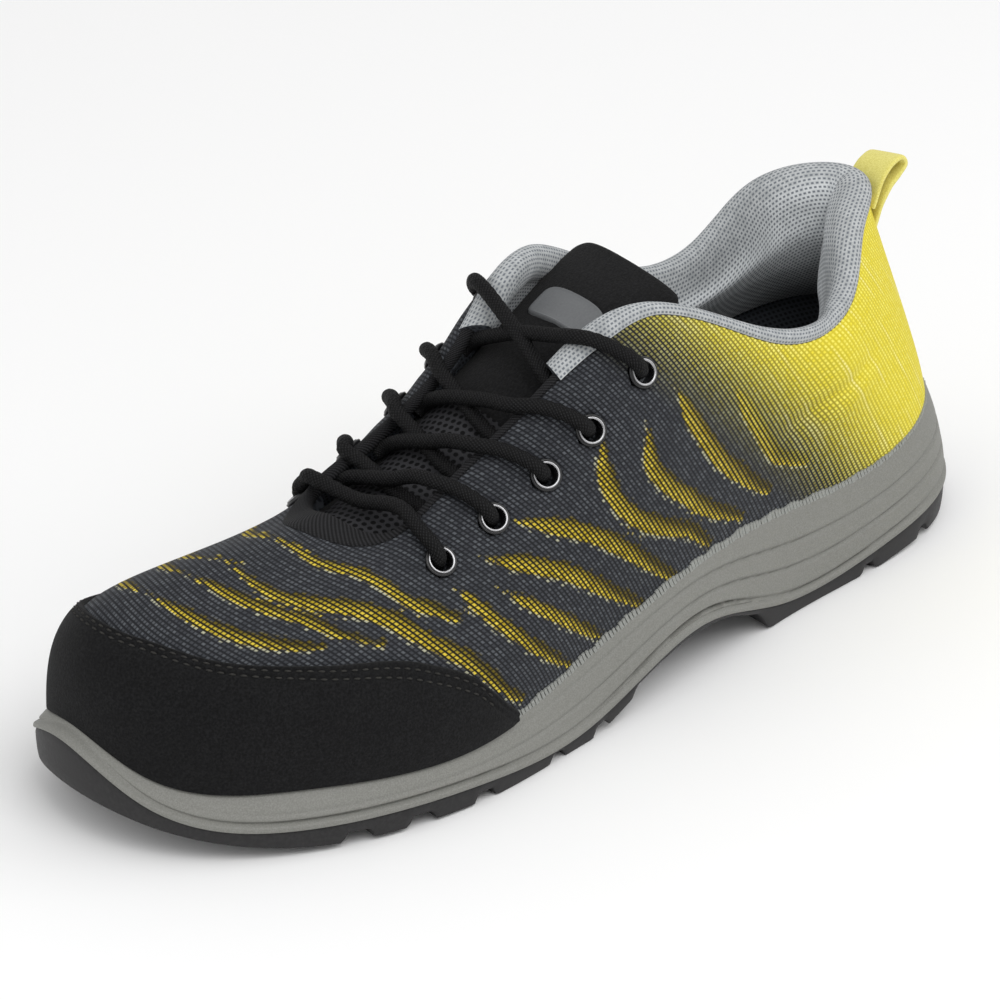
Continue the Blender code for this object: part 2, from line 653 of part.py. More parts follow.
def laces():
    """The lace's first bar, and the crossings above it, each one joined body."""
    lateral, medial = flap_points(1, 1, BAR_LIFT), flap_points(-1, 1, BAR_LIFT)
    middle = (lateral[-1] + medial[-1]) / 2
    route = [*lateral, throat_point(*middle[:2], BAR_LIFT), *medial[::-1]]
    add_piece("lace_bar", *tube(smooth_path(route, BAR_STEPS), LACE_RADIUS, LACE_SIDES), "lace_cord")
    for number in range(2, len(EYELETS) + 1):
        piece = add_piece(f"lace_cross_{number - 1}", *strand(1, number, 0.0), "lace_cord")
        other = add_cutter(f"lace_over_{number - 1}", *strand(-1, number, OVER_LIFT))
        combine(piece, other, "UNION")


def eyelets():
    """Steel rings: a flange on the upper's face and a barrel through its wall."""
    top = EYELET_LIFT + EYELET_FLANGE
    profile = ((EYELET_HOLE_RADIUS, -WALL), (EYELET_BARREL_RADIUS, -WALL),
               (EYELET_BARREL_RADIUS, EYELET_LIFT), (EYELET_FLANGE_RADIUS, EYELET_LIFT),
               (EYELET_FLANGE_RADIUS - EYELET_BEVEL, top),
               (EYELET_HOLE_RADIUS, top - EYELET_FLANGE / 2))
    for name, around, height in eyelet_places():
        points, faces = turned(eyelet_frame(around, height), profile, EYELET_SIDES, closed=True)
        add_piece(name, points, faces, "eyelet_steel")


def pull_loop():
    """Folded webbing strap behind the collar, a hairpin seen from the side."""
    x, z = column(STRAP, STRAP_COLUMNS, "x"), column(STRAP, STRAP_COLUMNS, "z")
    line = smooth_path(np.column_stack([x, 0 * x, z]), STRAP_STEPS)
    along = np.gradient(line, axis=0)
    along /= np.linalg.norm(along, axis=1, keepdims=True)
    side = np.stack([-along[:, 2], along[:, 1], along[:, 0]], axis=1) * STRAP_THICKNESS / 2
    across = np.array([0.0, STRAP_WIDTH / 2, 0.0])
    rings = np.stack([line + side - across, line + side + across,
                      line - side + across, line - side - across], axis=1)
    faces = grid_faces(len(line), 4, wrap_columns=True)
    last = (len(line) - 1) * 4
    faces += [(0, 1, 2, 3), (last, last + 1, last + 2, last + 3)]
    add_piece("pull_loop", rings, faces, "loop_webbing")


def main():
    """Clear the scene and build every piece."""
    for old in list(bpy.data.objects):
        bpy.data.objects.remove(old, do_unlink=True)
    outsole()
    midsole()
    insole()
    upper()
    toe_cap()
    collar()
    tongue()
    laces()
    eyelets()
    pull_loop()


main()
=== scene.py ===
# %% [markdown]
# # Dressing a low safety shoe
#
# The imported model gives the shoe's solids: a rubber tread, a foamed midsole, a knitted upper, a toe cap,
# a padded collar, a tongue, eyelets, a lace and a pull loop. This file gives them their visible surfaces.
# Almost every surface here is a function of two numbers worked out with numpy, because a shoe is drawn that
# way by its maker: a last is a set of ribs, and cloth, foam and suede follow it at known distances.

# %% Load the frame
import math

import bmesh
import bpy
import numpy as np
from mathutils import Matrix, Vector


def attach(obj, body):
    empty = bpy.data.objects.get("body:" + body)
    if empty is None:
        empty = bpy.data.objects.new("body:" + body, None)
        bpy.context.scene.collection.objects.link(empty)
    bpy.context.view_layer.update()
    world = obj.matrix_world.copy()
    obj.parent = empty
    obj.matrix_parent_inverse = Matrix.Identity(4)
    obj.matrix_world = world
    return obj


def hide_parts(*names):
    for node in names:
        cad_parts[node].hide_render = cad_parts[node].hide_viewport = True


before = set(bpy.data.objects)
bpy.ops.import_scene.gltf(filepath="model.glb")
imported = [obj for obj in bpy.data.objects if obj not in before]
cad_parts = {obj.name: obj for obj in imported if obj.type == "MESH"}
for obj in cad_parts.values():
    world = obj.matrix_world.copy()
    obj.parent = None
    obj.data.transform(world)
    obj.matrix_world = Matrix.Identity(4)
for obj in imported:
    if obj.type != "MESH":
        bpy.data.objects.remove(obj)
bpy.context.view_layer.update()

# %% [markdown]
# ## Camera, light and floor
#
# The camera stands where the photograph was taken: in front of the toe, on the outer side, a little above.
# A long lens far away keeps the sides nearly parallel, as in a catalogue picture. A catalogue shoe is lit by
# large soft boxes, so the lights are wide areas and a pale sky, and the floor is plain and nearly white.

# %% Camera
MM = 0.001
CENTRE = np.array([144.0, 2.0985, 0.0])
TARGET = np.array([150.0, 0.0, 45.0])
AZIMUTH, ELEVATION = math.radians(137.57), math.radians(28.87)
DISTANCE, FOCAL_PIXELS, IMAGE_PIXELS = 1724.4, 6429.8, 1000
IMAGE_CENTRE = (507.8, 509.3)
SENSOR = 36.0

back = np.array([math.sin(AZIMUTH) * math.cos(ELEVATION), -math.cos(AZIMUTH) * math.cos(ELEVATION),
                 math.sin(ELEVATION)])
right = np.cross((0.0, 0.0, 1.0), back)
right /= np.linalg.norm(right)
camera_data = bpy.data.cameras.new("camera")
camera_data.sensor_width = SENSOR
camera_data.lens = FOCAL_PIXELS / IMAGE_PIXELS * SENSOR
camera_data.shift_x = 0.5 - IMAGE_CENTRE[0] / IMAGE_PIXELS
camera_data.shift_y = IMAGE_CENTRE[1] / IMAGE_PIXELS - 0.5
camera = bpy.data.objects.new("camera", camera_data)
turn = Matrix(np.column_stack([right, np.cross(back, right), back]).tolist())
eye = (TARGET + back * DISTANCE - CENTRE) * MM
camera.matrix_world = Matrix.Translation(Vector(eye)) @ turn.to_4x4()
bpy.context.scene.collection.objects.link(camera)
bpy.context.scene.camera = camera
print("lens in mm:", round(camera_data.lens, 1))

# %% Lights and floor
SHOE_MIDDLE, SKY_STRENGTH, FLOOR_HALF = (0.0, 0.0, 0.05), 0.66, 6
LIGHTS = (("key", (0.2, 0.9, 1.5), 1.2, 11.0), ("fill", (1.3, -0.2, 0.9), 1.4, 4.0),
          ("heel", (-0.9, 0.7, 0.9), 1.0, 4.0))

for name, place, size, power in LIGHTS:
    lamp_data = bpy.data.lights.new(name, "AREA")
    lamp_data.size = size
    lamp_data.energy = power
    lamp = bpy.data.objects.new(name, lamp_data)
    lamp.location = place
    lamp.rotation_euler = (Vector(place) - Vector(SHOE_MIDDLE)).to_track_quat("Z", "Y").to_euler()
    bpy.context.scene.collection.objects.link(lamp)

world = bpy.data.worlds.new("studio")
world.use_nodes = True
sky = world.node_tree.nodes["Background"].inputs
sky["Color"].default_value = (1.0, 1.0, 1.0, 1.0)
sky["Strength"].default_value = SKY_STRENGTH
bpy.context.scene.world = world
bpy.context.scene.view_settings.view_transform = "Standard"

floor_mesh = bpy.data.meshes.new("floor")
floor_corners = [(x * FLOOR_HALF, y * FLOOR_HALF, 0) for x, y in ((-1, -1), (1, -1), (1, 1), (-1, 1))]
floor_mesh.from_pydata(floor_corners, [], [(0, 1, 2, 3)])
floor = bpy.data.objects.new("floor", floor_mesh)
bpy.context.scene.collection.objects.link(floor)
print("lights:", [light[0] for light in LIGHTS])

# %% [markdown]
# ## The table of ribs
#
# The solids were drawn from one table. A rib climbs from the edge of the sole to the edge of the opening, and
# each column, joined round the shoe by a smooth closed curve, gives one measure of it in millimetres. The
# heel is near x = 0, the toe towards +X and the outer side of the foot towards +Y. The looks start from
# the same table, so every surface sits on the solid it stands for.

# %% Tables
RIB_COLUMNS = ("sole_x", "sole_y", "lip_z", "tread_z", "inset", "feather_z",
               "edge_x", "edge_y", "edge_z", "rise", "flare", "reach", "lift")
WALL_COLUMNS = RIB_COLUMNS[4:]
RIBS = np.array((
    (295.5, -11, 27, 13, 5.5, 30, 213.5, -1, 66, 37, 0, 58, -6),
    (289.5, 14.5, 16, 9.5, 5.5, 22, 211.5, 8.5, 64.5, 35, 1, 46, -7.5),
    (258, 41.5, 8, 2, 6, 17.5, 204.5, 16, 65, 29.5, 2, 22.5, -7),
    (206, 53, 6, 0, 4.5, 15.5, 187.5, 17, 72.5, 20.5, 3, 8, -3),
    (162.5, 49, 5.5, 0, 4.5, 23, 156, 17.5, 88, 25, 3, 11, -1),
    (121.5, 45.5, 17, 15, 4, 33, 120, 23.5, 102, 25, 2, 9, -6),
    (98, 41, 11, 9, 4.3, 33, 94, 26.5, 90, 19, 2, 7, -6.3),
    (82.5, 38, 6, 0, 4.5, 31.5, 77.5, 28, 80.5, 16, 2, 6.5, -6),
    (40, 34.5, 7, 0, 4.5, 30, 47, 26.5, 82.5, 18.5, 1, 6.5, -6.5),
    (7, 25, 10.5, 1.5, 6, 35.5, 31.5, 14.5, 94, 16.5, -2, 4, -5),
    (-7.5, 0, 10.5, 2, 6.5, 38, 18.5, 0, 98, 15, -3.5, 2, -6),
    (6.5, -25, 10.5, 1.5, 6, 35.5, 32, -16, 97.5, 16.5, -2, 4, -5),
    (40, -35.5, 7, 0, 4.5, 31, 47, -26, 86, 18.5, 1, 6.5, -6.5),
    (82, -35, 6, 0, 4.5, 32.5, 80, -27.5, 81, 16, 2, 6.5, -6),
    (98.5, -34, 11, 9, 4.3, 34.5, 97, -27, 90, 19, 2, 7, -6.3),
    (123.5, -34, 17, 15, 4, 35, 121.5, -25, 103, 25, 2, 9, -6),
    (168, -41, 5.5, 0, 4.5, 24, 153.5, -18, 86, 25, 3, 11, -1),
    (211, -48, 6, 0, 4.5, 17, 188.5, -18.5, 69.5, 19, 3, 4.5, -4),
    (258.5, -46, 8, 2, 6, 17.5, 206.5, -17, 63, 27, 2, 17, -10.5),
    (286, -34, 17, 9.5, 5, 23.5, 212, -9.5, 63.5, 38, 0, 54.5, -9),
))
HEEL_RIB, RIB_COUNT = 10, len(RIBS)
WALL = 2.5
print("ribs:", RIB_COUNT, "columns:", len(RIB_COLUMNS))


# %% Curves through a table
def unit(vectors):
    """The same directions, each divided by its length."""
    return vectors / np.linalg.norm(vectors, axis=-1, keepdims=True)


def run_along(points):
    """Length walked along a line of points, from the first of them to each one."""
    return np.concatenate([[0.0], np.cumsum(np.linalg.norm(np.diff(points, axis=0), axis=1))])


def hermite(start, end, slope_in, slope_out, width, share):
    """Cubic between two values with given slopes, at a share of the width between them."""
    square, cube = share ** 2, share ** 3
    return ((2 * cube - 3 * square + 1) * start + (cube - 2 * square + share) * width * slope_in
            + (3 * square - 2 * cube) * end + (cube - square) * width * slope_out)


def open_curve(knots, values, at):
    """Smooth curve through values at rising knots; each slope is the mean of the chords beside it."""
    knots = np.asarray(knots, dtype=float)
    values = np.asarray(values, dtype=float).reshape(len(knots), -1)
    slopes = np.gradient(values, knots, axis=0)
    at = np.clip(at, knots[0], knots[-1])
    span = np.clip(np.searchsorted(knots, at, side="right") - 1, 0, len(knots) - 2)
    width = np.diff(knots)[span]
    share = ((at - knots[span]) / width)[:, None]
    return hermite(values[span], values[span + 1], slopes[span], slopes[span + 1], width[:, None], share)


def closed_curve(knots, values, at):
    """Closed curve through the values with no jump in slope or bend; the last knot is the whole way round."""
    count = len(values)
    width = np.diff(knots)
    after = np.roll(values, -1, axis=0)
    chord = (after - values) / width[:, None]
    index = np.arange(count)
    before = index - 1
    system = np.zeros((count, count))
    system[index, before] = width
    system[index, index] = 2 * (width[before] + width)
    system[index, (index + 1) % count] = width[before]
    slopes = np.linalg.solve(system, 3 * (width[:, None] * chord[before] + width[before, None] * chord))
    at = np.mod(at, knots[-1])
    span = np.clip(np.searchsorted(knots, at, side="right") - 1, 0, count - 1)
    share = ((at - knots[span]) / width[span])[:, None]
    return hermite(values[span], after[span], slopes[span], np.roll(slopes, -1, axis=0)[span],
                   width[span, None], share)


def smooth_step(value, low=0.0, high=1.0):
    """Zero up to low, one from high on, and an S-shaped cubic between them; it falls if low is larger."""
    share = np.clip((value - low) / (high - low), 0.0, 1.0)
    return share * share * (3 - 2 * share)


def between(value, rise, fall):
    """One between two spans: an S-shaped step up over the first and down over the second."""
    return smooth_step(value, *rise) * (1 - smooth_step(value, *fall))


def smooth_path(points, steps):
    """Evenly spaced points on a smooth curve through a route's own points."""
    points = np.asarray(points, dtype=float)
    knots = run_along(points)
    return open_curve(knots, points, np.linspace(0.0, knots[-1], steps))


print("a quarter of the way up a smooth step:", smooth_step(0.25))

# %% [markdown]
# ## The upper's own function
#
# A shoemaker's last is a closed form, but only the part between the sole and the opening carries cloth. A
# rib there is a cubic with four handles: its foot, a handle above the foot, a handle beside the edge, and the
# edge. Any place on the upper is then two numbers: how far round the shoe, and how far up the rib.

# %% Surface of the upper
corner_points = RIBS[:, :2]
corner_steps = np.linalg.norm(np.roll(corner_points, -1, axis=0) - corner_points, axis=1)
KNOTS = np.concatenate([[0.0], np.cumsum(corner_steps) / corner_steps.sum()])


def at_rib(rib):
    """Place round the shoe, from 0 to 1, of a rib number that may lie between two ribs."""
    rib = np.asarray(rib, dtype=float)
    return np.interp(np.mod(rib, RIB_COUNT), np.arange(RIB_COUNT + 1), KNOTS) + np.floor(rib / RIB_COUNT)


def rib_values(names, around):
    """Columns of the rib table, read from their closed curves at places round the shoe."""
    return closed_curve(KNOTS, RIBS[:, [RIB_COLUMNS.index(name) for name in names]], around).T


def sole_edge(around):
    """Points of the sole's edge from above, and the directions straight out of it, square to its run."""
    step = 0.001
    point, before, after = (np.stack(rib_values(("sole_x", "sole_y"), around + shift), axis=1)
                            for shift in (0.0, -step, step))
    along = unit(after - before)
    return point, np.stack([along[:, 1], -along[:, 0]], axis=1)


def surface(around, up):
    """Outer face of the upper: a cubic with four handles at each place round, read from foot 0 to edge 1."""
    point, outward = sole_edge(around)
    inset, feather_z, edge_x, edge_y, edge_z, rise, flare, reach, lift = rib_values(WALL_COLUMNS, around)
    foot = np.column_stack([point - outward * inset[:, None], feather_z])
    edge = np.column_stack([edge_x, edge_y, edge_z])
    low_handle = foot + np.column_stack([outward * flare[:, None], rise])
    inward = unit((edge - foot) * (1, 1, 0))
    high_handle = edge - inward * reach[:, None] + lift[:, None] * np.array((0, 0, 1))
    up = np.broadcast_to(np.asarray(up, dtype=float), (len(around), np.shape(up)[-1]))[:, :, None]
    down = 1 - up
    return (down ** 3 * foot[:, None] + 3 * down ** 2 * up * low_handle[:, None]
            + 3 * down * up ** 2 * high_handle[:, None] + up ** 3 * edge[:, None])


def surface_normals(around, up):
    """Directions out of the upper: the cross product of its two slopes, levelled near the sole."""
    step, level_below = 0.002, 0.2
    up = np.broadcast_to(np.asarray(up, dtype=float), (len(around), np.shape(up)[-1]))
    climb = surface(around, up + step) - surface(around, up - step)
    along = surface(around + step, up) - surface(around - step, up)
    normal = unit(np.cross(along, climb))
    normal[:, :, 2] *= np.clip(up / level_below, 0.0, 1.0)
    return unit(normal)


def off_surface(around, up, distance):
    """Points at a distance outside the upper's outer face, or inside it below zero."""
    return surface(around, up) + surface_normals(around, up) * np.asarray(distance)


def on_upper(places, steps):
    """Points and directions of a line drawn on the upper through (rib, height) places."""
    places = np.asarray(places, dtype=float)
    line = open_curve(np.linspace(0, 1, len(places)), places, np.linspace(0, 1, steps))
    around, up = at_rib(line[:, 0]), line[:, 1:]
    return surface(around, up)[:, 0], surface_normals(around, up)[:, 0]


def around_shoe(steps):
    """Places round the shoe, the same number on each side between the toe and the heel."""
    heel = KNOTS[HEEL_RIB]
    return np.concatenate([np.linspace(0, heel, steps // 2, endpoint=False),
                           np.linspace(heel, 1, steps // 2, endpoint=False)])


edge_line = surface(at_rib(np.arange(RIB_COUNT)), [1.0])[:, 0]
print("opening: lowest", edge_line[:, 2].min(), "highest", edge_line[:, 2].max(), "mm")

# %% [markdown]
# ## From grids to meshes
#
# A grid of points becomes faces by joining each point to its neighbours. A grid may close on itself along its
# rows or its columns, which makes tubes and rings. Each piece keeps its own map in millimetres, so a weave
# keeps its real size, and any number that a finish needs, such as a stripe, travels as an attribute.


# %% Panels of a piece
def panel(points, faces, uv=None, finish=0):
    """One part of a piece: its points, its faces, the map at every face corner and each face's finish."""
    return {"points": points.reshape(-1, 3), "faces": faces.reshape(-1, faces.shape[-1]),
            "uv": np.zeros((faces.size, 2)) if uv is None else uv.reshape(-1, 2),
            "finish": np.broadcast_to(finish, faces.shape[:-1]).reshape(-1)}


def grid(points, uv=None, wrap_rows=False, wrap_columns=False, finish=0):
    """Panel of four-sided faces: each point with the next in its row, its column and the corner between."""
    rows, columns = points.shape[:2]
    row = np.arange(rows if wrap_rows else rows - 1)[:, None]
    col = np.arange(columns if wrap_columns else columns - 1)[None, :]
    corners = ((0, 0), (1, 0), (1, 1), (0, 1))
    faces = np.stack([(row + r) % rows * columns + (col + c) % columns for r, c in corners], axis=-1)
    corner_uv = None if uv is None else np.stack([uv[row + r, col + c] for r, c in corners], axis=-2)
    return panel(points, faces, corner_uv, finish)


def end_caps(points):
    """Two panels of triangles that close the first and the last ring of a grid to their middles."""
    panels = []
    for ring in (points[0], points[-1]):
        index = np.arange(len(ring))
        faces = np.stack([index, (index + 1) % len(ring), np.full(len(ring), len(ring))], axis=1)
        corners = np.vstack([ring, ring.mean(axis=0)])
        panels.append(panel(corners, faces, corners[faces][..., 1:]))
    return panels


def map_in_mm(points, wrap_rows=False, wrap_columns=False):
    """Map of a grid: mean lengths along its rows and lengths along its columns, in millimetres."""
    closed = points if not wrap_rows else np.concatenate([points, points[:1]])
    closed = closed if not wrap_columns else np.concatenate([closed, closed[:, :1]], axis=1)
    along = np.linalg.norm(np.diff(closed, axis=0), axis=2).mean(axis=1)
    across = np.linalg.norm(np.diff(closed, axis=1), axis=2)
    u = np.concatenate([[0.0], np.cumsum(along)])
    v = np.concatenate([np.zeros((len(closed), 1)), np.cumsum(across, axis=1)], axis=1)
    return np.stack([np.broadcast_to(u[:, None], v.shape), v], axis=2)


def tube(points, finish=0):
    """Panels of a tube: rings joined one after the other, with their map, and a cap at each end."""
    uv = map_in_mm(points, wrap_columns=True)
    return [grid(points, uv, wrap_columns=True, finish=finish), *end_caps(points)]


print("panels of a tube:", len(tube(np.zeros((2, 3, 3)))))

# %% From panels to an object
WELD, SLIVER = 2e-6, 1e-7


def add_piece(name, panels, finishes, nodes=(), attributes=None, sharp=60.0):
    """Object of one closed piece: panels joined and welded, faces outward, in metres about the centre."""
    points, uv, finish_index = (np.concatenate([part[key] for part in panels])
                                for key in ("points", "uv", "finish"))
    starts = np.cumsum([0] + [len(part["points"]) for part in panels])
    faces = [face for part, start in zip(panels, starts) for face in (part["faces"] + start).tolist()]
    mesh = bpy.data.meshes.new(name)
    mesh.from_pydata(((points - CENTRE) * MM).tolist(), [], faces)
    mesh.uv_layers.new(name="map").data.foreach_set("uv", uv.ravel())
    mesh.polygons.foreach_set("material_index", finish_index.astype(np.int32))
    for key, values in (attributes or {}).items():
        stored = mesh.attributes.new(key, "FLOAT", "POINT")
        stored.data.foreach_set("value", np.ravel(values).astype(np.float32))
    work = bmesh.new()
    work.from_mesh(mesh)
    bmesh.ops.remove_doubles(work, verts=work.verts, dist=WELD)
    bmesh.ops.dissolve_degenerate(work, edges=work.edges, dist=SLIVER)
    bmesh.ops.recalc_face_normals(work, faces=work.faces)
    if work.calc_volume(signed=True) < 0:
        bmesh.ops.reverse_faces(work, faces=work.faces)
    work.to_mesh(mesh)
    work.free()
    mesh.shade_smooth()
    mesh.set_sharp_from_angle(angle=math.radians(sharp))
    for finish in finishes:
        mesh.materials.append(finish.material)
    piece = bpy.data.objects.new(name, mesh)
    bpy.context.scene.collection.objects.link(piece)
    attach(piece, "root")
    if nodes:
        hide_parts(*nodes)
    print(name, "faces:", len(mesh.polygons))
    return piece


print("points closer than", WELD / MM, "mm are welded")

# %% [markdown]
# ## A small language for finishes
#
# A finish is a network of nodes. Written one node at a time it is long and hard to read, so this little class
# gives each step a short name: arithmetic, noise, a mix of colours, a bump. It only shortens the writing, and
# the networks it makes are ordinary ones.


# %% Finish tools
class Finish:
    """Material with a Principled shader and short names for the nodes that feed it."""

    def __init__(self, name, **sockets):
        self.material = bpy.data.materials.new(name)
        self.material.use_nodes = True
        self.tree = self.material.node_tree
        self.shader = self.tree.nodes["Principled BSDF"]
        for key, value in sockets.items():
            self.put(self.shader.inputs[key.replace("_", " ")], value)
        print("finish:", name)

    def put(self, socket, value):
        """Link another node's socket, or set a plain value."""
        if isinstance(value, bpy.types.NodeSocket):
            self.tree.links.new(value, socket)
        elif socket.type == "RGBA" and np.shape(value) == (3,):
            socket.default_value = (*value, 1.0)
        else:
            socket.default_value = value

    def node(self, kind, inputs, **settings):
        """Any node: settings are its own choices, inputs go by name or number."""
        made = self.tree.nodes.new("ShaderNode" + kind)
        for key, value in settings.items():
            setattr(made, key, value)
        for key, value in inputs.items():
            self.put(made.inputs[key], value)
        return made

    def math(self, operation, first, second=0.0, third=0.0):
        """One step of arithmetic."""
        return self.node("Math", {0: first, 1: second, 2: third}, operation=operation).outputs[0]

    def ramp(self, value, low, high, start=0.0, end=1.0):
        """S-shaped step of a value from start at low to end at high."""
        inputs = {"Value": value, "From Min": low, "From Max": high, "To Min": start, "To Max": end}
        return self.node("MapRange", inputs, interpolation_type="SMOOTHSTEP").outputs[0]

    def fall(self, value, low, high, floor=0.0):
        """S-shaped step of a value from 1 at low down to a floor at high."""
        return self.ramp(value, low, high, 1.0, floor)

    def mix(self, share, first, second):
        """Colour between two colours."""
        return self.node("Mix", {0: share, 6: first, 7: second}, data_type="RGBA").outputs[2]

    def noise(self, scale, detail=2.0, roughness=0.5, vector=None):
        """Cloudy noise from 0 to 1 at a scale in waves a metre, or a millimetre on the piece's map."""
        inputs = {"Scale": scale, "Detail": detail, "Roughness": roughness}
        inputs["Vector"] = self.place() if vector is None else vector
        return self.node("TexNoise", inputs).outputs[0]

    def place(self):
        """Place on the object, in metres."""
        return self.node("TexCoord", {}).outputs["Object"]

    def map(self):
        """The two lengths of the piece's own map, in millimetres."""
        split = self.node("SeparateXYZ", {0: self.node("UVMap", {}, uv_map="map").outputs[0]})
        return split.outputs[0], split.outputs[1]

    def attribute(self, name):
        """A number stored on the piece."""
        return self.node("Attribute", {}, attribute_name=name).outputs["Fac"]

    def cell(self, length, pitch):
        """Number of the cell that a length falls in, and the distance from its middle, 0 to 0.5."""
        count = self.math("DIVIDE", length, pitch)
        off_middle = self.math("ABSOLUTE", self.math("SUBTRACT", self.math("FRACT", count), 0.5))
        return self.math("FLOOR", count), off_middle

    def staggered(self, row_length, row_pitch, length, pitch):
        """Cells in rows, every other row moved on by half a cell: both numbers, both distances."""
        row, off_row = self.cell(row_length, row_pitch)
        half_step = self.math("MULTIPLY", self.math("MODULO", row, 2.0), pitch / 2)
        column, off_column = self.cell(self.math("ADD", length, half_step), pitch)
        return row, column, off_row, off_column

    def spot(self, first, first_span, second, second_span, floor=0.0):
        """Middle of a cell: the product of two falls, one for the distance along each of its sides."""
        return self.math("MULTIPLY", self.fall(first, *first_span), self.fall(second, *second_span, floor))

    def chance(self, first, second):
        """Random number from 0 to 1 that stays the same all over one cell."""
        vector = self.node("CombineXYZ", {0: first, 1: second}).outputs[0]
        return self.node("TexWhiteNoise", {"Vector": vector}, noise_dimensions="2D").outputs[0]

    def colour(self, value):
        """Colour of the shader."""
        self.put(self.shader.inputs["Base Color"], value)

    def rough(self, value):
        """Roughness of the shader."""
        self.put(self.shader.inputs["Roughness"], value)

    def bump(self, height, depth, strength=1.0):
        """Relief: a height from 0 to 1 that stands for a depth in metres."""
        made = self.node("Bump", {"Height": height, "Distance": depth, "Strength": strength})
        self.put(self.shader.inputs["Normal"], made.outputs[0])


def grainy(name, noise, dark, light, relief, span=None, **sockets):
    """Finish with one noise (scale, detail, roughness): it mixes two colours, stepped over a span if one is
    given, and stands for a relief (depth in metres, strength). Returns the noise too."""
    finish = Finish(name, **sockets)
    grain = finish.noise(*noise)
    finish.colour(finish.mix(finish.ramp(grain, *span) if span else grain, dark, light))
    finish.bump(grain, *relief)
    return finish, grain


paper = Finish("floor_paper", Roughness=0.9)
paper.colour(paper.mix(paper.noise(3.0), (0.93, 0.93, 0.93), (0.95, 0.95, 0.95)))
floor_mesh.materials.append(paper.material)

# %% [markdown]
# ## Midsole
#
# The grey body of the sole is foam poured straight onto the knit, so it has a soft matte skin, a bright bead
# along its lower edge, long shallow grooves that spread towards the heel, and small teeth where the foam bit
# into the ribs of the knit. It could be a swept profile, but the profile changes all the way round. So it is
# a grid: round the shoe, and up a side that is a table of heights and leans, with grooves pressed in.

# %% Foam finish
foam = Finish("midsole_foam_finish", Roughness=0.62)
speckle, cloud = foam.noise(2600.0, 3.0), foam.noise(60.0, 2.0)
skin = foam.mix(cloud, (0.165, 0.165, 0.148), (0.19, 0.19, 0.172))
foam.colour(foam.mix(foam.ramp(speckle, 0.35, 0.7), skin, (0.225, 0.225, 0.207)))
foam.bump(speckle, 0.00012, 0.35)

# %% Grooves of the midsole
SOLE_STEPS = 640
SOLE_AROUND = around_shoe(SOLE_STEPS)
GROOVE_RIBS = np.array((0, 1.5, 3, 4, 5, 6, 7, 8.5, 10))
GROOVE_HEIGHTS = np.array((
    (0.38, 0.25, 0.22, 0.16, 0.20, 0.14, 0.10, 0.11, 0.11),
    (0.70, 0.48, 0.48, 0.46, 0.46, 0.42, 0.38, 0.38, 0.38),
    (0.85, 0.84, 0.82, 0.78, 0.74, 0.68, 0.64, 0.62, 0.60),
))
GROOVE_DEPTHS = np.array((
    (0.0, 0.25, 0.4, 0.5, 1.3, 0.5, 0.35, 0.4, 0.45),
    (0.0, 0.1, 0.2, 0.3, 0.4, 0.45, 0.45, 0.45, 0.45),
    (0.0, 0.0, 0.05, 0.2, 0.35, 0.45, 0.45, 0.4, 0.35),
))
GROOVE_HALF, GROOVE_SCALE, STEP_SHARPER = 0.6, 1.8, 2.0


def groove_curves(half):
    """Curves round the shoe through rows from toe to heel, with the same values back along the inner side."""
    ribs = np.concatenate([GROOVE_RIBS, RIB_COUNT - GROOVE_RIBS[-2:0:-1], [RIB_COUNT]])
    rows = np.concatenate([half, half[:, -2:0:-1]], axis=1)
    return closed_curve(at_rib(ribs), rows.T, SOLE_AROUND)


def groove_relief(height_share, tall):
    """Depth of the grooves: for each line, a soft trough above it and a sharper step below it."""
    lines, depths = groove_curves(GROOVE_HEIGHTS), groove_curves(GROOVE_DEPTHS)
    off = (height_share[None, :, None] - lines[:, None, :]) * tall[:, None, None] / GROOVE_HALF
    trough = np.exp(-np.where(off > 0, off, off * STEP_SHARPER) ** 2)
    return (trough * np.maximum(depths, 0.0)[:, None]).sum(axis=2) * GROOVE_SCALE


print("deepest groove in mm:", GROOVE_DEPTHS.max() * GROOVE_SCALE)

# %% Midsole
SIDE = np.array(((0.0, 0.0), (0.15, 0.03), (0.5, 0.28), (0.8, 0.64), (0.93, 0.86), (1.0, 1.0)))
LIP_GAP, FEATHER_OVER, MIDSOLE_UP = 0.15, 0.4, 60
BEAD_OUT, BEAD_AT, BEAD_HALF = 0.55, 0.85, 1.0
CREASE_IN, CREASE_AT, CREASE_HALF = 0.5, 2.1, 0.4


def sole_loop(inward, height):
    """Points inside the sole's edge by a distance, at a height, each a number or an array round the shoe."""
    point, outward = sole_edge(SOLE_AROUND)
    place = point - outward * np.broadcast_to(inward, SOLE_STEPS)[:, None]
    return np.column_stack([place, np.broadcast_to(height, SOLE_STEPS)])


lip_z, inset, feather_z = rib_values(("lip_z", "inset", "feather_z"), SOLE_AROUND)
low, tall = lip_z + LIP_GAP, feather_z + FEATHER_OVER - lip_z - LIP_GAP
share = np.linspace(0.0, 1.0, MIDSOLE_UP)
lean = open_curve(SIDE[:, 0], SIDE[:, 1], share)[:, 0]
above = share[None, :] * tall[:, None]
bead = BEAD_OUT * np.exp(-((above - BEAD_AT) / BEAD_HALF) ** 4)
bead -= CREASE_IN * np.exp(-((above - CREASE_AT) / CREASE_HALF) ** 2)
inward = lean[None, :] * inset[:, None] - bead + groove_relief(share, tall)
point, outward = sole_edge(SOLE_AROUND)
side = np.concatenate([point[:, None] - outward[:, None] * inward[:, :, None],
                       (low[:, None] + above)[:, :, None]], axis=2)
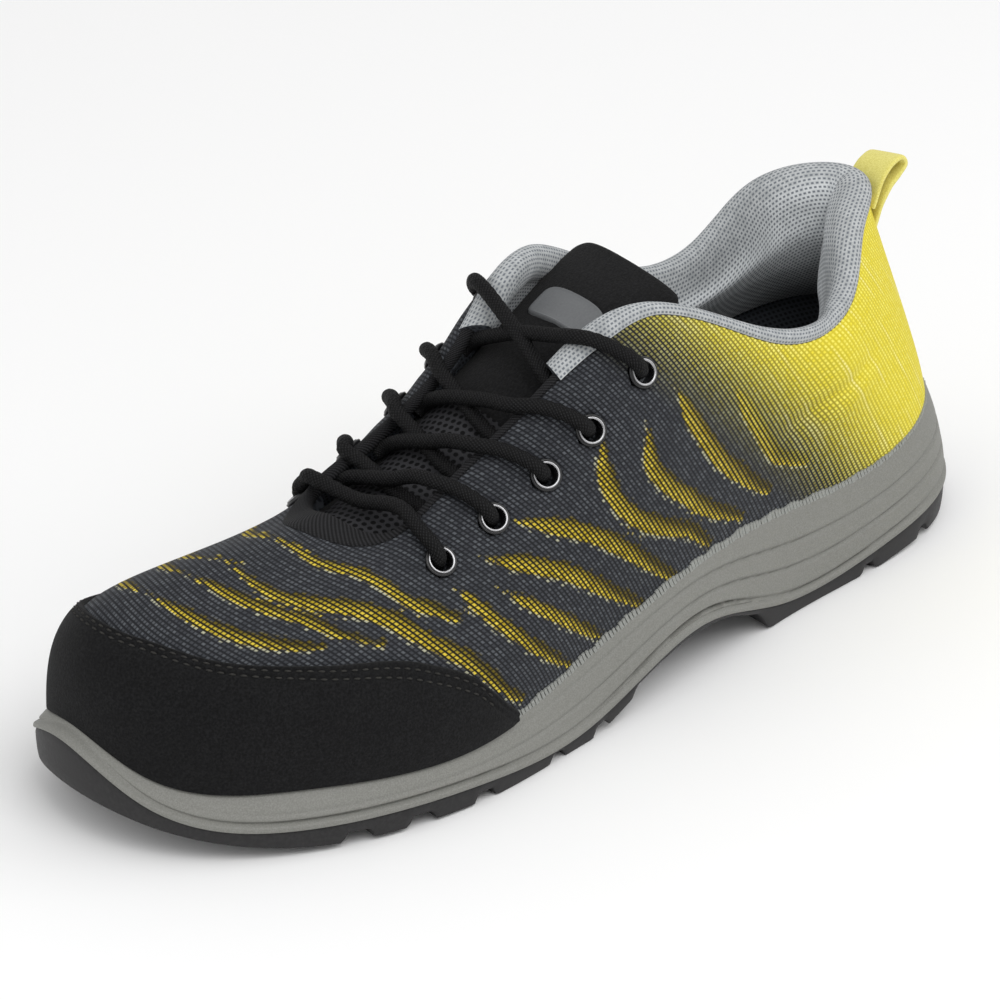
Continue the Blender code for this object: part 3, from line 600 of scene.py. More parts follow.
# Three loops behind the side close the section: inside the feather line, down its back and over the tread.
inside = [sole_loop(inset + WALL + 1.0, feather_z - 1.0), sole_loop(inset + WALL + 2.0, lip_z + 4.0),
          sole_loop(8.0, lip_z + 1.0)]
midsole_points = np.concatenate([side, np.stack(inside, axis=1)], axis=1)
midsole = grid(midsole_points, map_in_mm(midsole_points, True, True), True, True)
add_piece("midsole_foam", [midsole], [foam], ["midsole"])

# %% Foam teeth on the knit
TEETH, TEETH_IN_GROUP, TOOTH_LEAN, TOOTH_SEED = 300, 9.0, 0.5, 7
TEETH_FROM, TEETH_TO, TOOTH_FOOT, TOOTH_PROUD = 3.3, 9.4, 0.004, 0.1
SHORTEST, PLAIN, WAVED, TALL_RIB, TALL_SPAN = 0.6, 2.0, 2.0, 5.0, (4.2, 1.6)
TOOTH_WIDE, TOOTH_CHANGE, TOOTH_DEEP = (0.9, 1.15), (-0.4, 0.6), (0.5, 0.9)
tooth_foam, _ = grainy("tooth_foam_finish", (2200.0, 3.0), (0.19, 0.195, 0.18), (0.36, 0.37, 0.35),
                       (0.0001, 0.4), Roughness=0.7)


def small_blocks(middles, along, across, out, sizes):
    """Boxes at many places at once: every corner is the middle plus or minus half of each size."""
    signs = np.array([(a, b, c) for a in (-1, 1) for b in (-1, 1) for c in (-1, 1)]) / 2
    axes = np.stack([along, across, out], axis=1) * sizes[:, :, None]
    faces = np.array(((0, 1, 3, 2), (4, 6, 7, 5), (0, 4, 5, 1), (2, 3, 7, 6), (0, 2, 6, 4), (1, 5, 7, 3)))
    return panel(middles[:, None] + signs @ axes, faces + np.arange(len(middles))[:, None, None] * len(signs))


rng = np.random.default_rng(TOOTH_SEED)
fine_rib = np.linspace(TEETH_FROM, TEETH_TO, 400)
run = run_along(surface(at_rib(fine_rib), [TOOTH_FOOT])[:, 0])[1:]
tooth_rib = np.interp(np.linspace(0.0, run[-1], TEETH // 2), run, fine_rib[1:])
tooth_rib = np.concatenate([tooth_rib, RIB_COUNT - tooth_rib[::-1]])
tooth_around = at_rib(tooth_rib)
tooth_foot = surface(tooth_around, [TOOTH_FOOT])[:, 0]
tooth_out = surface_normals(tooth_around, [0.01])[:, 0]
tooth_up = unit(surface(tooth_around, [0.02])[:, 0] - tooth_foot)
to_next = surface(tooth_around + 0.0005, [TOOTH_FOOT])[:, 0] - tooth_foot
tooth_up = unit(tooth_up + TOOTH_LEAN * unit(np.sign(tooth_rib - HEEL_RIB)[:, None] * to_next))
number = np.arange(TEETH)
wave = 0.5 + 0.5 * np.sin(number * 2 * math.pi / TEETH_IN_GROUP + 1.5 * np.sin(number * 0.21))
tall_tooth = smooth_step(np.abs(np.mod(tooth_rib, HEEL_RIB) - TALL_RIB), *TALL_SPAN)
tooth_size = np.column_stack([
    rng.uniform(*TOOTH_WIDE, TEETH),
    (PLAIN + WAVED * wave + rng.uniform(*TOOTH_CHANGE, TEETH)) * tall_tooth + SHORTEST,
    rng.uniform(*TOOTH_DEEP, TEETH)])
teeth = small_blocks(tooth_foot + tooth_out * TOOTH_PROUD, np.cross(tooth_up, tooth_out), tooth_up, tooth_out,
                     tooth_size)
add_piece("midsole_teeth", [teeth], [tooth_foam], sharp=30.0)

# %% [markdown]
# ## Outsole
#
# The tread is dense black rubber, cut into lugs by grooves that run out to the edge, where they show as
# notches. It wraps up over the toe as a bumper. Carving it with Booleans would leave ragged faces, so the
# underside is one height field over the sole's outline: rows run across the foot between partner points of
# the edge, and the grooves are smooth steps in height.

# %% Shape of the tread
CROSS_GROOVES = np.array(((244.0, 7.5), (226.0, 7.5), (205.5, 6.5), (178.0, 5.0), (160.5, 5.0), (45.5, 5.0),
                          (20.0, 5.0)))
LONG_GROOVES = np.array((-17.0, 0.0, 17.0))
CROSS_DEPTH, CROSS_SLOPE, LONG_DEPTH, LONG_SLOPE, LONG_HALF = 3.0, 1.8, 1.6, 0.9, 1.3
CHEVRON, CHEVRON_WAVE, CHEVRON_SPAN = 5.0, 9.0, (34.0, 20.0)
LONG_SPANS, HEEL_CUT = ((4.0, 12.0), (254.0, 262.0)), (0.0, 3.0)


def tread_relief(x, y):
    """Depth cut into the tread: cross grooves bent back like chevrons inside the edge, and thin long ones."""
    inside_edge = smooth_step(np.abs(y), *CHEVRON_SPAN)
    bent = x + CHEVRON * inside_edge * np.cos(y / CHEVRON_WAVE)
    off_cross = np.abs(bent[..., None] - CROSS_GROOVES[:, 0])
    from_wall = ((CROSS_GROOVES[:, 1] + CROSS_SLOPE) / 2 - off_cross).max(axis=-1)
    cut = CROSS_DEPTH * smooth_step(from_wall, 0.0, CROSS_SLOPE)
    off_long = np.abs(y[..., None] - LONG_GROOVES).min(axis=-1)
    thin = LONG_DEPTH * smooth_step(LONG_HALF - off_long, 0.0, LONG_SLOPE) * between(x, *LONG_SPANS)
    return np.maximum(cut * smooth_step(x, *HEEL_CUT), thin)


def partners(loop):
    """Values of a loop from toe to heel along the outer side, and their partners on the inner side."""
    half = len(loop) // 2
    return loop[:half + 1], loop[-np.arange(half + 1)]


def across_shoe(loop, steps):
    """Rows between partner points of a loop: straight lines from the outer side to the inner side."""
    outer, inner = partners(loop)
    share = np.linspace(0.0, 1.0, steps)[None, :, None]
    return outer[:, None] * (1 - share) + inner[:, None] * share


print("grooves across the tread:", len(CROSS_GROOVES), "along it:", len(LONG_GROOVES))

# %% Outsole
TREAD_BEVEL, OUTSOLE_ACROSS, LID_ACROSS, LID_SUNK = 0.6, 72, 9, 0.4
ARCH_RUBBER, RUBBER_LEFT = 1.8, 1.2
HEEL_BLOCK_SPANS, ARCH_SPANS = ((70.0, 76.0), (86.0, 94.0)), ((87.0, 95.0), (146.0, 148.5))
OUTSOLE_SIDE = ((0.0, 2.0), (0.06, 1.0), (0.3, 0.5), (0.6, 0.2), (0.85, 0.1), (0.95, 0.35), (1.0, 0.9))
rubber, grain = grainy("outsole_rubber_finish", (900.0, 4.0), (0.016, 0.0155, 0.016), (0.030, 0.029, 0.0295),
                       (0.0001, 0.4), (0.3, 0.75), Specular_IOR_Level=0.3)
rubber.rough(rubber.ramp(grain, 0.2, 0.8, 0.48, 0.66))

tread_z = np.maximum(rib_values(("tread_z",), SOLE_AROUND)[0], 0.0)
edge_x = sole_edge(SOLE_AROUND)[0][:, 0]
tread_z = tread_z * (1 - between(edge_x, *HEEL_BLOCK_SPANS))
tread_z = tread_z + np.maximum(lip_z - ARCH_RUBBER - tread_z, 0.0) * between(edge_x, *ARCH_SPANS)
rim = sole_loop(2 * TREAD_BEVEL, tread_z)
bottom = across_shoe(rim, OUTSOLE_ACROSS)
bottom[:, :, 2] += tread_relief(bottom[:, :, 0], bottom[:, :, 1])
rim_cut = np.minimum(tread_relief(rim[:, 0], rim[:, 1]), np.maximum(lip_z - tread_z - RUBBER_LEFT, 0.0))
wall_low = tread_z + rim_cut
bottom[:, 0, 2], bottom[:, -1, 2] = partners(wall_low)
bottom[0], bottom[-1] = bottom[0, 0], bottom[-1, 0]
wall = np.stack([sole_loop(offset * TREAD_BEVEL, wall_low + height * (lip_z - wall_low))
                 for height, offset in OUTSOLE_SIDE], axis=1)
lid = across_shoe(wall[:, -1], LID_ACROSS)
lid[1:-1, 1:-1, 2] -= LID_SUNK
add_piece("outsole_rubber", [grid(bottom), grid(wall, wrap_rows=True), grid(lid)], [rubber],
          ["outsole"], sharp=35.0)

# %% [markdown]
# ## Knitted upper
#
# The upper is one hollow sock of double knit. Dark ribs run across the foot about a millimetre and a half
# apart, and between them small open cells show a second yarn: yellow in the stripes, near black elsewhere,
# all yellow at the heel. An image would be the usual way to print this, but cells that small need the weave
# in the finish itself. So the mesh carries a map in millimetres along and across the ribs, plus how deep
# each point lies in a stripe, and the finish builds cells from the map.

# %% Creases and eyelet seats
EYELETS = ((2.84, 0.675), (3.39, 0.667), (3.87, 0.65), (4.28, 0.658), (4.78, 0.725))
UPPER_STEPS, UPPER_UP, LINING_UP, CREASE_STEPS = 512, 72, 30, 40
CREASES = (
    (((7.0, 0.42), (7.5, 0.525), (8.15, 0.57)), 2.6, 1.3),
    (((7.2, 0.36), (7.7, 0.45), (8.3, 0.48)), 4.4, -0.5),
    (((6.2, 0.62), (6.9, 0.52), (7.5, 0.46)), 6.0, 0.4),
    (((2.2, 0.80), (2.75, 0.55), (3.2, 0.30)), 5.0, 0.45),
    (((1.7, 0.72), (2.4, 0.50), (2.9, 0.28)), 6.0, 0.35),
    (((4.9, 0.55), (5.2, 0.35), (5.6, 0.18)), 7.0, 0.4),
)
SEAT_DEPTH, SEAT_REACH, PIT_DEPTH, PIT_RADIUS, PIT_WALL = 0.5, 8.0, 3.5, 4.1, 0.9


def mirrored(places):
    """The same places on the inner side of the foot."""
    return tuple((RIB_COUNT - rib, height) for rib, height in places)


def near_line(points, line):
    """Distance of each point of a grid to the nearest point of a line, and that point's number."""
    gap = np.linalg.norm(points.reshape(-1, 1, 3) - line[None], axis=2)
    return gap.min(axis=1).reshape(points.shape[:2]), gap.argmin(axis=1).reshape(points.shape[:2])


def eyelet_frames():
    """Middle of each eyelet on the upper, a direction along the face to the edge, and the one out of it."""
    places = np.array(EYELETS + mirrored(EYELETS))
    around, up = at_rib(places[:, 0]), places[:, 1:]
    middle, out = surface(around, up)[:, 0], surface_normals(around, up)[:, 0]
    return middle, unit(surface(around, up + 0.01)[:, 0] - middle), out


upper_around = around_shoe(UPPER_STEPS)
upper_up = np.linspace(0.0, 1.0, UPPER_UP)
knit_face = surface(upper_around, upper_up)
knit_out = surface_normals(upper_around, upper_up)
relief = np.zeros(knit_face.shape[:2])
for places, half_width, depth in CREASES:
    for route in (places, mirrored(places)):
        gap, nearest = near_line(knit_face, on_upper(route, CREASE_STEPS)[0])
        fade = np.sin(np.pi * (nearest + 0.5) / CREASE_STEPS)
        relief -= depth * np.exp(-(gap / half_width) ** 2) * fade
eyelet_middle, eyelet_towards, eyelet_out = eyelet_frames()
to_eyelet, _ = near_line(knit_face, eyelet_middle)
pit = smooth_step(PIT_RADIUS - to_eyelet, 0.0, PIT_WALL)
relief -= SEAT_DEPTH * np.exp(-(to_eyelet / SEAT_REACH) ** 2) + PIT_DEPTH * pit
print("relief from", round(relief.min(), 2), "to", round(relief.max(), 2), "mm")

# %% Stripes
STRIPES = (
    (((-0.05, 0.57), (1.1, 0.56), (1.9, 0.51)), 2.1),
    (((-0.2, 0.70), (1.3, 0.67), (2.35, 0.48)), 2.0),
    (((-0.3, 0.81), (1.8, 0.68), (2.8, 0.40), (3.4, 0.08)), 2.7),
    (((-0.7, 0.92), (1.6, 0.85), (2.62, 0.57), (2.95, 0.46)), 2.1),
    (((2.92, 0.57), (3.25, 0.38), (3.85, 0.04)), 2.2),
    (((3.3, 0.47), (3.72, 0.26), (4.15, 0.03)), 2.0),
    (((3.2, 0.59), (3.8, 0.37), (4.5, 0.03)), 2.7),
    (((3.52, 0.62), (4.15, 0.36), (4.82, 0.03)), 2.8),
    (((4.36, 0.62), (4.32, 0.46), (4.6, 0.27), (5.35, 0.06)), 3.0),
    (((4.72, 0.56), (4.72, 0.40), (5.1, 0.24), (6.0, 0.10)), 3.0),
    (((5.02, 0.64), (5.25, 0.49), (5.75, 0.33), (6.8, 0.18)), 3.2),
    (((5.9, 0.66), (6.5, 0.48), (7.3, 0.26)), 3.2),
)
STRIPE_STEPS, VAMP_DIM, END_DIM, NO_STRIPE = 64, 0.3, 1.0, -9.0
STRIPE_START, STRIPE_END, LEAST_WIDTH, SIDE_LIMIT = (-0.05, 0.3), (-0.4, 0.35), 0.5, 1.5
DIM_SHARES, DIM_SIDES, VAMP_SPAN = (0.55, 1.0), (-0.9, -0.5), (205.0, 250.0)

stripe_depth = np.full(knit_face.shape[:2], NO_STRIPE)
stripe_side = np.zeros(knit_face.shape[:2])
for places, half_width in STRIPES:
    for route, inner_side in ((places, 1.0), (mirrored(places), -1.0)):
        line, out = on_upper(route, STRIPE_STEPS)
        gap, nearest = near_line(knit_face, line)
        share = nearest / (STRIPE_STEPS - 1)
        taper = np.minimum(smooth_step(share, *STRIPE_START), smooth_step(1 - share, *STRIPE_END))
        width = half_width * taper
        upwards = unit(inner_side * np.cross(out, np.gradient(line, axis=0)))
        side_of = ((knit_face - line[nearest]) * upwards[nearest]).sum(axis=2)
        side_of = side_of / np.maximum(width, LEAST_WIDTH)
        dim = END_DIM * smooth_step(share, *DIM_SHARES) * smooth_step(side_of, *DIM_SIDES)
        deeper = width - gap > stripe_depth
        stripe_depth = np.where(deeper, width - gap, stripe_depth)
        stripe_side = np.where(deeper, np.clip(side_of, -SIDE_LIMIT, SIDE_LIMIT) + dim, stripe_side)
on_vamp = smooth_step(knit_face[:, :, 0], *VAMP_SPAN)
stripe_side += VAMP_DIM * on_vamp * smooth_step(stripe_side, *DIM_SIDES)
print("share of the knit in stripes:", round(float((stripe_depth > 0).mean()), 3))

# %% Map of the knit and fade to the heel
KNIT_TURN, RIB_LEAN, SIDE_MIDDLE = 80.0, 0.6, 62.0
RIB_ARCH, RIB_ARCH_SPAN, RIB_ARCH_ROUND = 0.3, (110.0, 200.0), 8.0
FLAT_FROM, FLAT_SIDES, SPREAD_FROM = (150.0, 205.0), (6.0, 24.0), (40.0, 105.0)
VAMP_FROM, VAMP_MIDDLE, VAMP_HEIGHT, CREST, INNER_RISE = 150.0, 240.0, 58.0, 2.0, 9.0
ROW_SLANT, FINE_ROWS, SPREAD, SIDE_SPREAD, MAP_START = 0.19, 0.2, 24.0, 22.0, 400.0
FADE_START, FADE_ALONG, FADE_UP, EDGE_FADE = 0.657, -0.0141, 0.0139, 0.2


def turn_length(x, walked):
    """Length walked down each column as far as KNIT_TURN, read between the points on either side of it."""
    after = (x < KNIT_TURN).argmax(axis=0)[None]
    x_before, x_after = np.take_along_axis(x, after - 1, 0), np.take_along_axis(x, after, 0)
    before, beyond = np.take_along_axis(walked, after - 1, 0), np.take_along_axis(walked, after, 0)
    return before + (x_before - KNIT_TURN) / (x_before - x_after) * (beyond - before)


def knit_map(points):
    """Lengths in mm: along the foot (round the heel behind KNIT_TURN) with ribs that lean back as they go
    down the side, and across it, from the crest of the vamp outwards and then down the side."""
    x, y, z = np.moveaxis(points, 2, 0)
    heel = UPPER_STEPS // 2
    step = np.linalg.norm(np.diff(np.concatenate([points, points[:1]]), axis=0), axis=2)
    from_toe = np.concatenate([np.zeros((1, points.shape[1])), np.cumsum(step, axis=0)])
    back_to_toe = from_toe[-1] - from_toe
    outer_half = np.arange(UPPER_STEPS)[:, None] <= heel
    walked = np.where(outer_half, from_toe[:-1], back_to_toe[:-1])
    turn_at = np.where(outer_half, turn_length(x[:heel + 1], walked[:heel + 1]),
                       turn_length(x[:heel:-1], walked[:heel:-1]))
    base = np.where(x >= KNIT_TURN, x, KNIT_TURN - (walked - turn_at))
    off_crest = np.abs(y - CREST)
    arch = RIB_ARCH * smooth_step(x, *RIB_ARCH_SPAN) * np.hypot(off_crest, RIB_ARCH_ROUND)
    along = base + arch - RIB_LEAN * (z - SIDE_MIDDLE)
    steep = 1 - smooth_step(x, *FLAT_FROM) * (1 - smooth_step(off_crest, *FLAT_SIDES))
    spread = SPREAD * np.tanh(off_crest / SPREAD) * (1 + FINE_ROWS * smooth_step(x, VAMP_FROM, VAMP_MIDDLE))
    spread = SIDE_SPREAD + (spread - SIDE_SPREAD) * smooth_step(x, *SPREAD_FROM)
    inner_half = np.where(x > VAMP_FROM, y < CREST, ~outer_half)
    height = z - VAMP_HEIGHT - INNER_RISE * inner_half
    across = spread - steep * (height + ROW_SLANT * (along - VAMP_MIDDLE))
    return np.stack([along, np.where(inner_half, -across, across)], axis=2) + MAP_START


knit_uv = knit_map(knit_face)
heel_fade = np.clip(FADE_START + FADE_ALONG * knit_face[:, :, 0] + FADE_UP * knit_face[:, :, 2], 0.0, 1.0)
heel_fade[:, -1] *= EDGE_FADE
print("share of the knit in the fade:", round(float(((heel_fade > 0) & (heel_fade < 1)).mean()), 3))

# %% [markdown]
# The finish reads the map as rows and columns of cells. Each cell draws one random number, which sets how
# bright its yarn is and roughens the edge of a stripe, so stripes end cell by cell as knitted ones do.

# %% Knit finish
RIB_PITCH, ROW_PITCH = 1.62, 1.0
knit = Finish("knit_finish", Roughness=0.8, Sheen_Weight=0.04, Sheen_Roughness=0.5, Specular_IOR_Level=0.12)
along, across = knit.map()
rib_number, off_rib = knit.cell(along, RIB_PITCH)
row_number, off_row = knit.cell(across, ROW_PITCH)
luck = knit.chance(rib_number, row_number)
window = knit.spot(off_rib, (0.19, 0.37), off_row, (0.22, 0.47), 0.05)
depth = knit.math("ADD", knit.attribute("stripe"), knit.math("MULTIPLY_ADD", luck, 1.4, -0.7))
upper_edge = knit.attribute("stripe_side")
in_stripe = knit.ramp(depth, -0.5, 0.6)
glow = knit.fall(knit.math("MULTIPLY_ADD", luck, 0.5, upper_edge), 0.1, 1.45, 0.1)
low_edge = knit.math("MULTIPLY", knit.ramp(upper_edge, -0.7, -1.0), knit.ramp(depth, -0.7, 0.1))
low_edge = knit.math("MULTIPLY", low_edge, knit.math("GREATER_THAN", luck, 0.42))
dark_cell = knit.mix(knit.math("POWER", luck, 1.6), (0.044, 0.047, 0.054), (0.098, 0.106, 0.117))
gold_cell = knit.mix(glow, (0.05, 0.038, 0.006), knit.mix(luck, (0.40, 0.29, 0.012), (0.74, 0.57, 0.06)))
cell = knit.mix(low_edge, knit.mix(in_stripe, dark_cell, gold_cell), (0.40, 0.40, 0.30))
thread = knit.mix(in_stripe, (0.017, 0.018, 0.021), (0.015, 0.013, 0.008))

# %% Yellow yarn of the heel
heel = knit.attribute("heel")
streak_place = knit.node("CombineXYZ", {0: along, 1: knit.math("MULTIPLY", across, 0.12)}).outputs[0]
streak = knit.ramp(knit.noise(0.3, 2.0, vector=streak_place), 0.55, 0.72)
heel_cell = knit.mix(luck, (0.80, 0.68, 0.05), (0.88, 0.80, 0.14))
heel_cell = knit.mix(knit.math("MULTIPLY", streak, 0.6), heel_cell, (0.92, 0.88, 0.42))
cell = knit.mix(knit.ramp(heel, 0.0, 0.7), cell, heel_cell)
thread = knit.mix(knit.ramp(heel, 0.25, 0.95), thread, (0.66, 0.55, 0.035))
knit.colour(knit.mix(window, thread, cell))
weave_height = knit.math("ADD", knit.fall(off_rib, 0.1, 0.5), knit.math("MULTIPLY", window, 0.5))
knit.bump(weave_height, 0.0003, 0.55)
print("nodes in the knit:", len(knit.tree.nodes))

# %% Upper
PORE_PITCH, PORE_SPAN = 1.6, (0.15, 0.4)
lining = Finish("lining_finish", Roughness=0.9)
off_u, off_v = (lining.cell(length, PORE_PITCH)[1] for length in lining.map())
pores = lining.spot(off_u, PORE_SPAN, off_v, PORE_SPAN)
lining.colour(lining.mix(pores, (0.085, 0.095, 0.11), (0.018, 0.020, 0.026)))
lining.bump(pores, 0.0004, -0.5)

lining_up = np.linspace(1.0, 0.0, LINING_UP)
columns = np.round(lining_up * (UPPER_UP - 1)).astype(int)
outer = knit_face + knit_out * relief[:, :, None]
inner = outer[:, columns] - knit_out[:, columns] * WALL
upper_points = np.concatenate([outer, inner], axis=1)
ring_uv = np.concatenate([knit_uv, knit_uv[:, columns], knit_uv[:, :1]], axis=1)
ring_uv = np.concatenate([ring_uv, ring_uv[:1]], axis=0)
ring_finish = np.where(np.arange(upper_points.shape[1]) < UPPER_UP - 1, 0, 1)[None, :]
inner_flat = np.zeros((UPPER_STEPS, LINING_UP))
upper_values = {"stripe": np.concatenate([stripe_depth + NO_STRIPE * pit, inner_flat + NO_STRIPE], axis=1),
                "stripe_side": np.concatenate([stripe_side, inner_flat], axis=1),
                "heel": np.concatenate([heel_fade, inner_flat], axis=1)}
add_piece("upper_knit", [grid(upper_points, ring_uv, True, True, ring_finish)], [knit, lining],
          ["upper"], upper_values)

# %% [markdown]
# ## Toe cap
#
# A strip of black suede is sewn over the toe, with its cut edge lying on the knit and a double row of
# stitches just inside it. It follows the upper's own function at a fixed distance. The distance falls to
# nothing in a quarter circle at the edge, which gives the rounded cut, and dips along the stitches, which
# pull the suede down.

# %% Suede finish
suede = Finish("suede_finish", Roughness=0.95, Sheen_Weight=0.05, Sheen_Roughness=0.6,
               Specular_IOR_Level=0.06)
nap, brushed = suede.noise(1500.0, 4.0, 0.65), suede.noise(90.0, 3.0)
pale_nap = suede.mix(brushed, (0.012, 0.012, 0.0125), (0.019, 0.019, 0.020))
suede.colour(suede.mix(suede.ramp(nap, 0.3, 0.8), (0.0045, 0.0045, 0.0048), pale_nap))
suede.bump(nap, 0.00035, 0.7)

# %% Cap
CAP_EDGE = np.array(((-3.35, 0.03), (-3.0, 0.235), (-2.64, 0.35), (-2.0, 0.405), (-1.4, 0.4), (-0.7, 0.375),
                     (0.16, 0.362), (0.7, 0.408), (1.45, 0.428), (2.0, 0.408), (2.64, 0.358), (3.0, 0.245),
                     (3.35, 0.03)))
CAP_PROUD, CAP_ROUND, CAP_CLEAR, CAP_SUNK, CAP_HIGHER = 1.7, 1.5, 0.15, 0.4, 0.02
CAP_STEPS, CAP_UP, CAP_FINE, INNER_STRIDE = 260, 88, 0.3, 8
STITCH_ROWS, STITCH_DIP, STITCH_HALF = (1.9, 4.1), 0.4, 0.8


def rib_length(around):
    """Length in mm of the rib at each place round the shoe, walked over forty points."""
    points = surface(around, np.linspace(0, 1, 40))
    return np.linalg.norm(np.diff(points, axis=1), axis=2).sum(axis=1)


def cap_edge(rib):
    """Place round the shoe, height of the cap's top edge and length of the rib, for each rib number."""
    around = at_rib(rib)
    top = CAP_HIGHER + open_curve(CAP_EDGE[:, 0], CAP_EDGE[:, 1], rib)[:, 0]
    return around, top[:, None], rib_length(around)[:, None]


def cap_height(below_edge):
    """Distance of the suede from the knit: a quarter circle at the edge, then flat, with dips at stitches."""
    near = 1 - np.clip(below_edge / CAP_ROUND, 0.0, 1.0)
    dips = sum(STITCH_DIP * np.exp(-((below_edge - row) / STITCH_HALF) ** 2) for row in STITCH_ROWS)
    return CAP_PROUD * np.sqrt(1 - near ** 2) + CAP_CLEAR - dips


cap_around, cap_top, cap_length = cap_edge(np.linspace(CAP_EDGE[0, 0], CAP_EDGE[-1, 0], CAP_STEPS))
cap_share = np.concatenate([np.linspace(0, CAP_FINE, CAP_UP // 2, endpoint=False),
                            np.linspace(CAP_FINE, 1, CAP_UP // 2)])
cap_up = cap_top * (1 - cap_share)
cap_below = (cap_top - cap_up) * cap_length
cap_outer = off_surface(cap_around, cap_up, cap_height(cap_below)[:, :, None])
cap_inner = off_surface(cap_around, cap_up[:, ::-INNER_STRIDE], -CAP_SUNK)
cap_points = np.concatenate([cap_outer, cap_inner], axis=1)
add_piece("toe_cap_suede", tube(cap_points), [suede], ["toe_cap"])

# %% Stitches of the cap
STITCH_LENGTH, STITCH_GAP, STITCH_RADIUS, STITCH_LIFT = 2.0, 1.0, 0.3, 0.1
STITCH_SIDES, STITCH_RINGS, STITCH_ARCH, STITCH_SUNK, FIRST_STITCH = 6, 7, 1.3, 0.9, 0.5
STITCH_RIBS, STITCH_STEPS = (-3.15, 3.15), 500
stitch_thread, _ = grainy("stitch_thread_finish", (2500.0, 2.0), (0.012, 0.012, 0.012), (0.055, 0.053, 0.048),
                          (0.0001, 0.5), Roughness=0.8, Specular_IOR_Level=0.15)


def ring_angles(count):
    """Angles of the points of a ring, evenly spaced."""
    return np.linspace(0, 2 * math.pi, count, endpoint=False)


def stitches(path, out):
    """Short round threads along a path: each is a low arch that sinks into the leather at both ends."""
    run = run_along(path)
    first = np.arange(FIRST_STITCH, run[-1] - STITCH_LENGTH, STITCH_LENGTH + STITCH_GAP)
    at = first[:, None] + np.linspace(0.0, STITCH_LENGTH, STITCH_RINGS)
    place, top = (np.stack([np.interp(at, run, values[:, k]) for k in range(3)], axis=2)
                  for values in (path, out))
    arch = np.sin(np.linspace(0.0, math.pi, STITCH_RINGS))[None, :, None]
    middle = place + top * (STITCH_RADIUS * (STITCH_ARCH * arch - STITCH_SUNK))
    along = unit(np.gradient(middle, axis=1))
    side = unit(np.cross(along, top))
    angle = ring_angles(STITCH_SIDES)[:, None]
    ring = np.cos(angle) * side[:, :, None] + np.sin(angle) * np.cross(side, along)[:, :, None]
    points = middle[:, :, None] + STITCH_RADIUS * np.sqrt(arch)[:, :, None] * ring
    faces = grid(points[0], wrap_columns=True)["faces"]
    return panel(points, faces + np.arange(len(first))[:, None, None] * STITCH_RINGS * STITCH_SIDES)


stitch_around, stitch_top, stitch_rib_length = cap_edge(np.linspace(*STITCH_RIBS, STITCH_STEPS))
rows = []
for row in STITCH_ROWS:
    up = stitch_top - row / stitch_rib_length
    path = off_surface(stitch_around, up, cap_height(row) + STITCH_LIFT)[:, 0]
    rows.append(stitches(path, surface_normals(stitch_around, up)[:, 0]))
add_piece("toe_cap_stitches", rows, [stitch_thread])

# %% [markdown]
# ## Padded collar
#
# The collar is a strip of foam under an open spacer mesh. It is sewn to the edge of the knit, rolls over the
# top and goes down inside, with a fat pad on each side of the heel and a fold between them. The strip is long
# and only a few millimetres thick, far thinner than a simulated cushion, so its cushioning is worked out: a
# smooth curve through the section at every place along the strip, thickened where the pads are.

# %% Spacer mesh finish
MESH_PITCH = 1.2
spacer = Finish("collar_mesh_finish", Roughness=0.85, Specular_IOR_Level=0.15)
along, across = spacer.map()
row_number, column_number, off_row, off_column = spacer.staggered(across, MESH_PITCH, along, MESH_PITCH)
hole = spacer.spot(off_row, (0.12, 0.36), off_column, (0.16, 0.42))
luck = spacer.chance(column_number, row_number)
# The yarn steps from the roll's grey to a lighter grey between 12 and 20 mm across, down the inner face of
# the pad: painted light, lifting a face that lies in shade.
inside, painted_shade_deep = spacer.ramp(across, 12.0, 20.0), spacer.ramp(across, 38.0, 72.0)
lit_and_shaded_yarn = spacer.mix(inside, spacer.mix(luck, (0.36, 0.375, 0.38), (0.49, 0.505, 0.51)),
                  spacer.mix(luck, (0.52, 0.54, 0.55), (0.64, 0.66, 0.67)))
# The yarn and the holes darken between 38 and 72 mm across, down towards the footbed: painted shade deep
# inside the shoe.
lit_and_shaded_yarn = spacer.mix(painted_shade_deep, lit_and_shaded_yarn, (0.06, 0.065, 0.075))
gap = spacer.mix(painted_shade_deep, (0.15, 0.165, 0.185), (0.02, 0.022, 0.026))
spacer.colour(spacer.mix(hole, lit_and_shaded_yarn, gap))
spacer.bump(hole, 0.0005, -0.7)

# %% Collar
ROLL = np.array(((0.0, 0.1), (1.3, 1.3), (3.2, 1.6), (5.2, 0.4), (6.2, -2.6), (5.0, -6.0)))
COLLAR_RIBS, COLLAR_STEPS, COLLAR_ACROSS = (4.2, 15.8), 460, 64
COLLAR_BOTTOM, COLLAR_FRONT_BOTTOM, COLLAR_TAPER = 0.40, 0.80, 0.9
COLLAR_SIZES = np.array(((4.2, 1.0), (4.5, 1.0), (5.0, 0.78), (7.2, 0.78), (8.4, 1.05), (9.2, 1.3),
                         (10.0, 1.2)))
PAD_LEVELS = np.array((1.0, 0.75, 0.5, 0.25, 0.0))
PAD_THICK, PAD_FILL = np.array((6.0, 5.0, 4.0, 3.0, 2.0)), np.array((3.4, 6.4, 6.8, 4.6, 1.2))
PAD_START, COLLAR_GAP, TUCK_PAST, SEAM_PAST = 0.96, 0.35, 0.3, 0.25
FRONT_WRAP, WRAP_OUT, WRAP_RIBS, WRAP_SHARES = 2.4, 0.12, (0.3, 0.9), np.array((1.0, 0.7, 0.3, 0, 0, 0))
ANKLE_FROM, ANKLE_TO, ANKLE_LESS, SWELL_SCALE, SWELL_START = (5.3, 6.6), (8.4, 9.3), 0.8, 0.8, 0.12
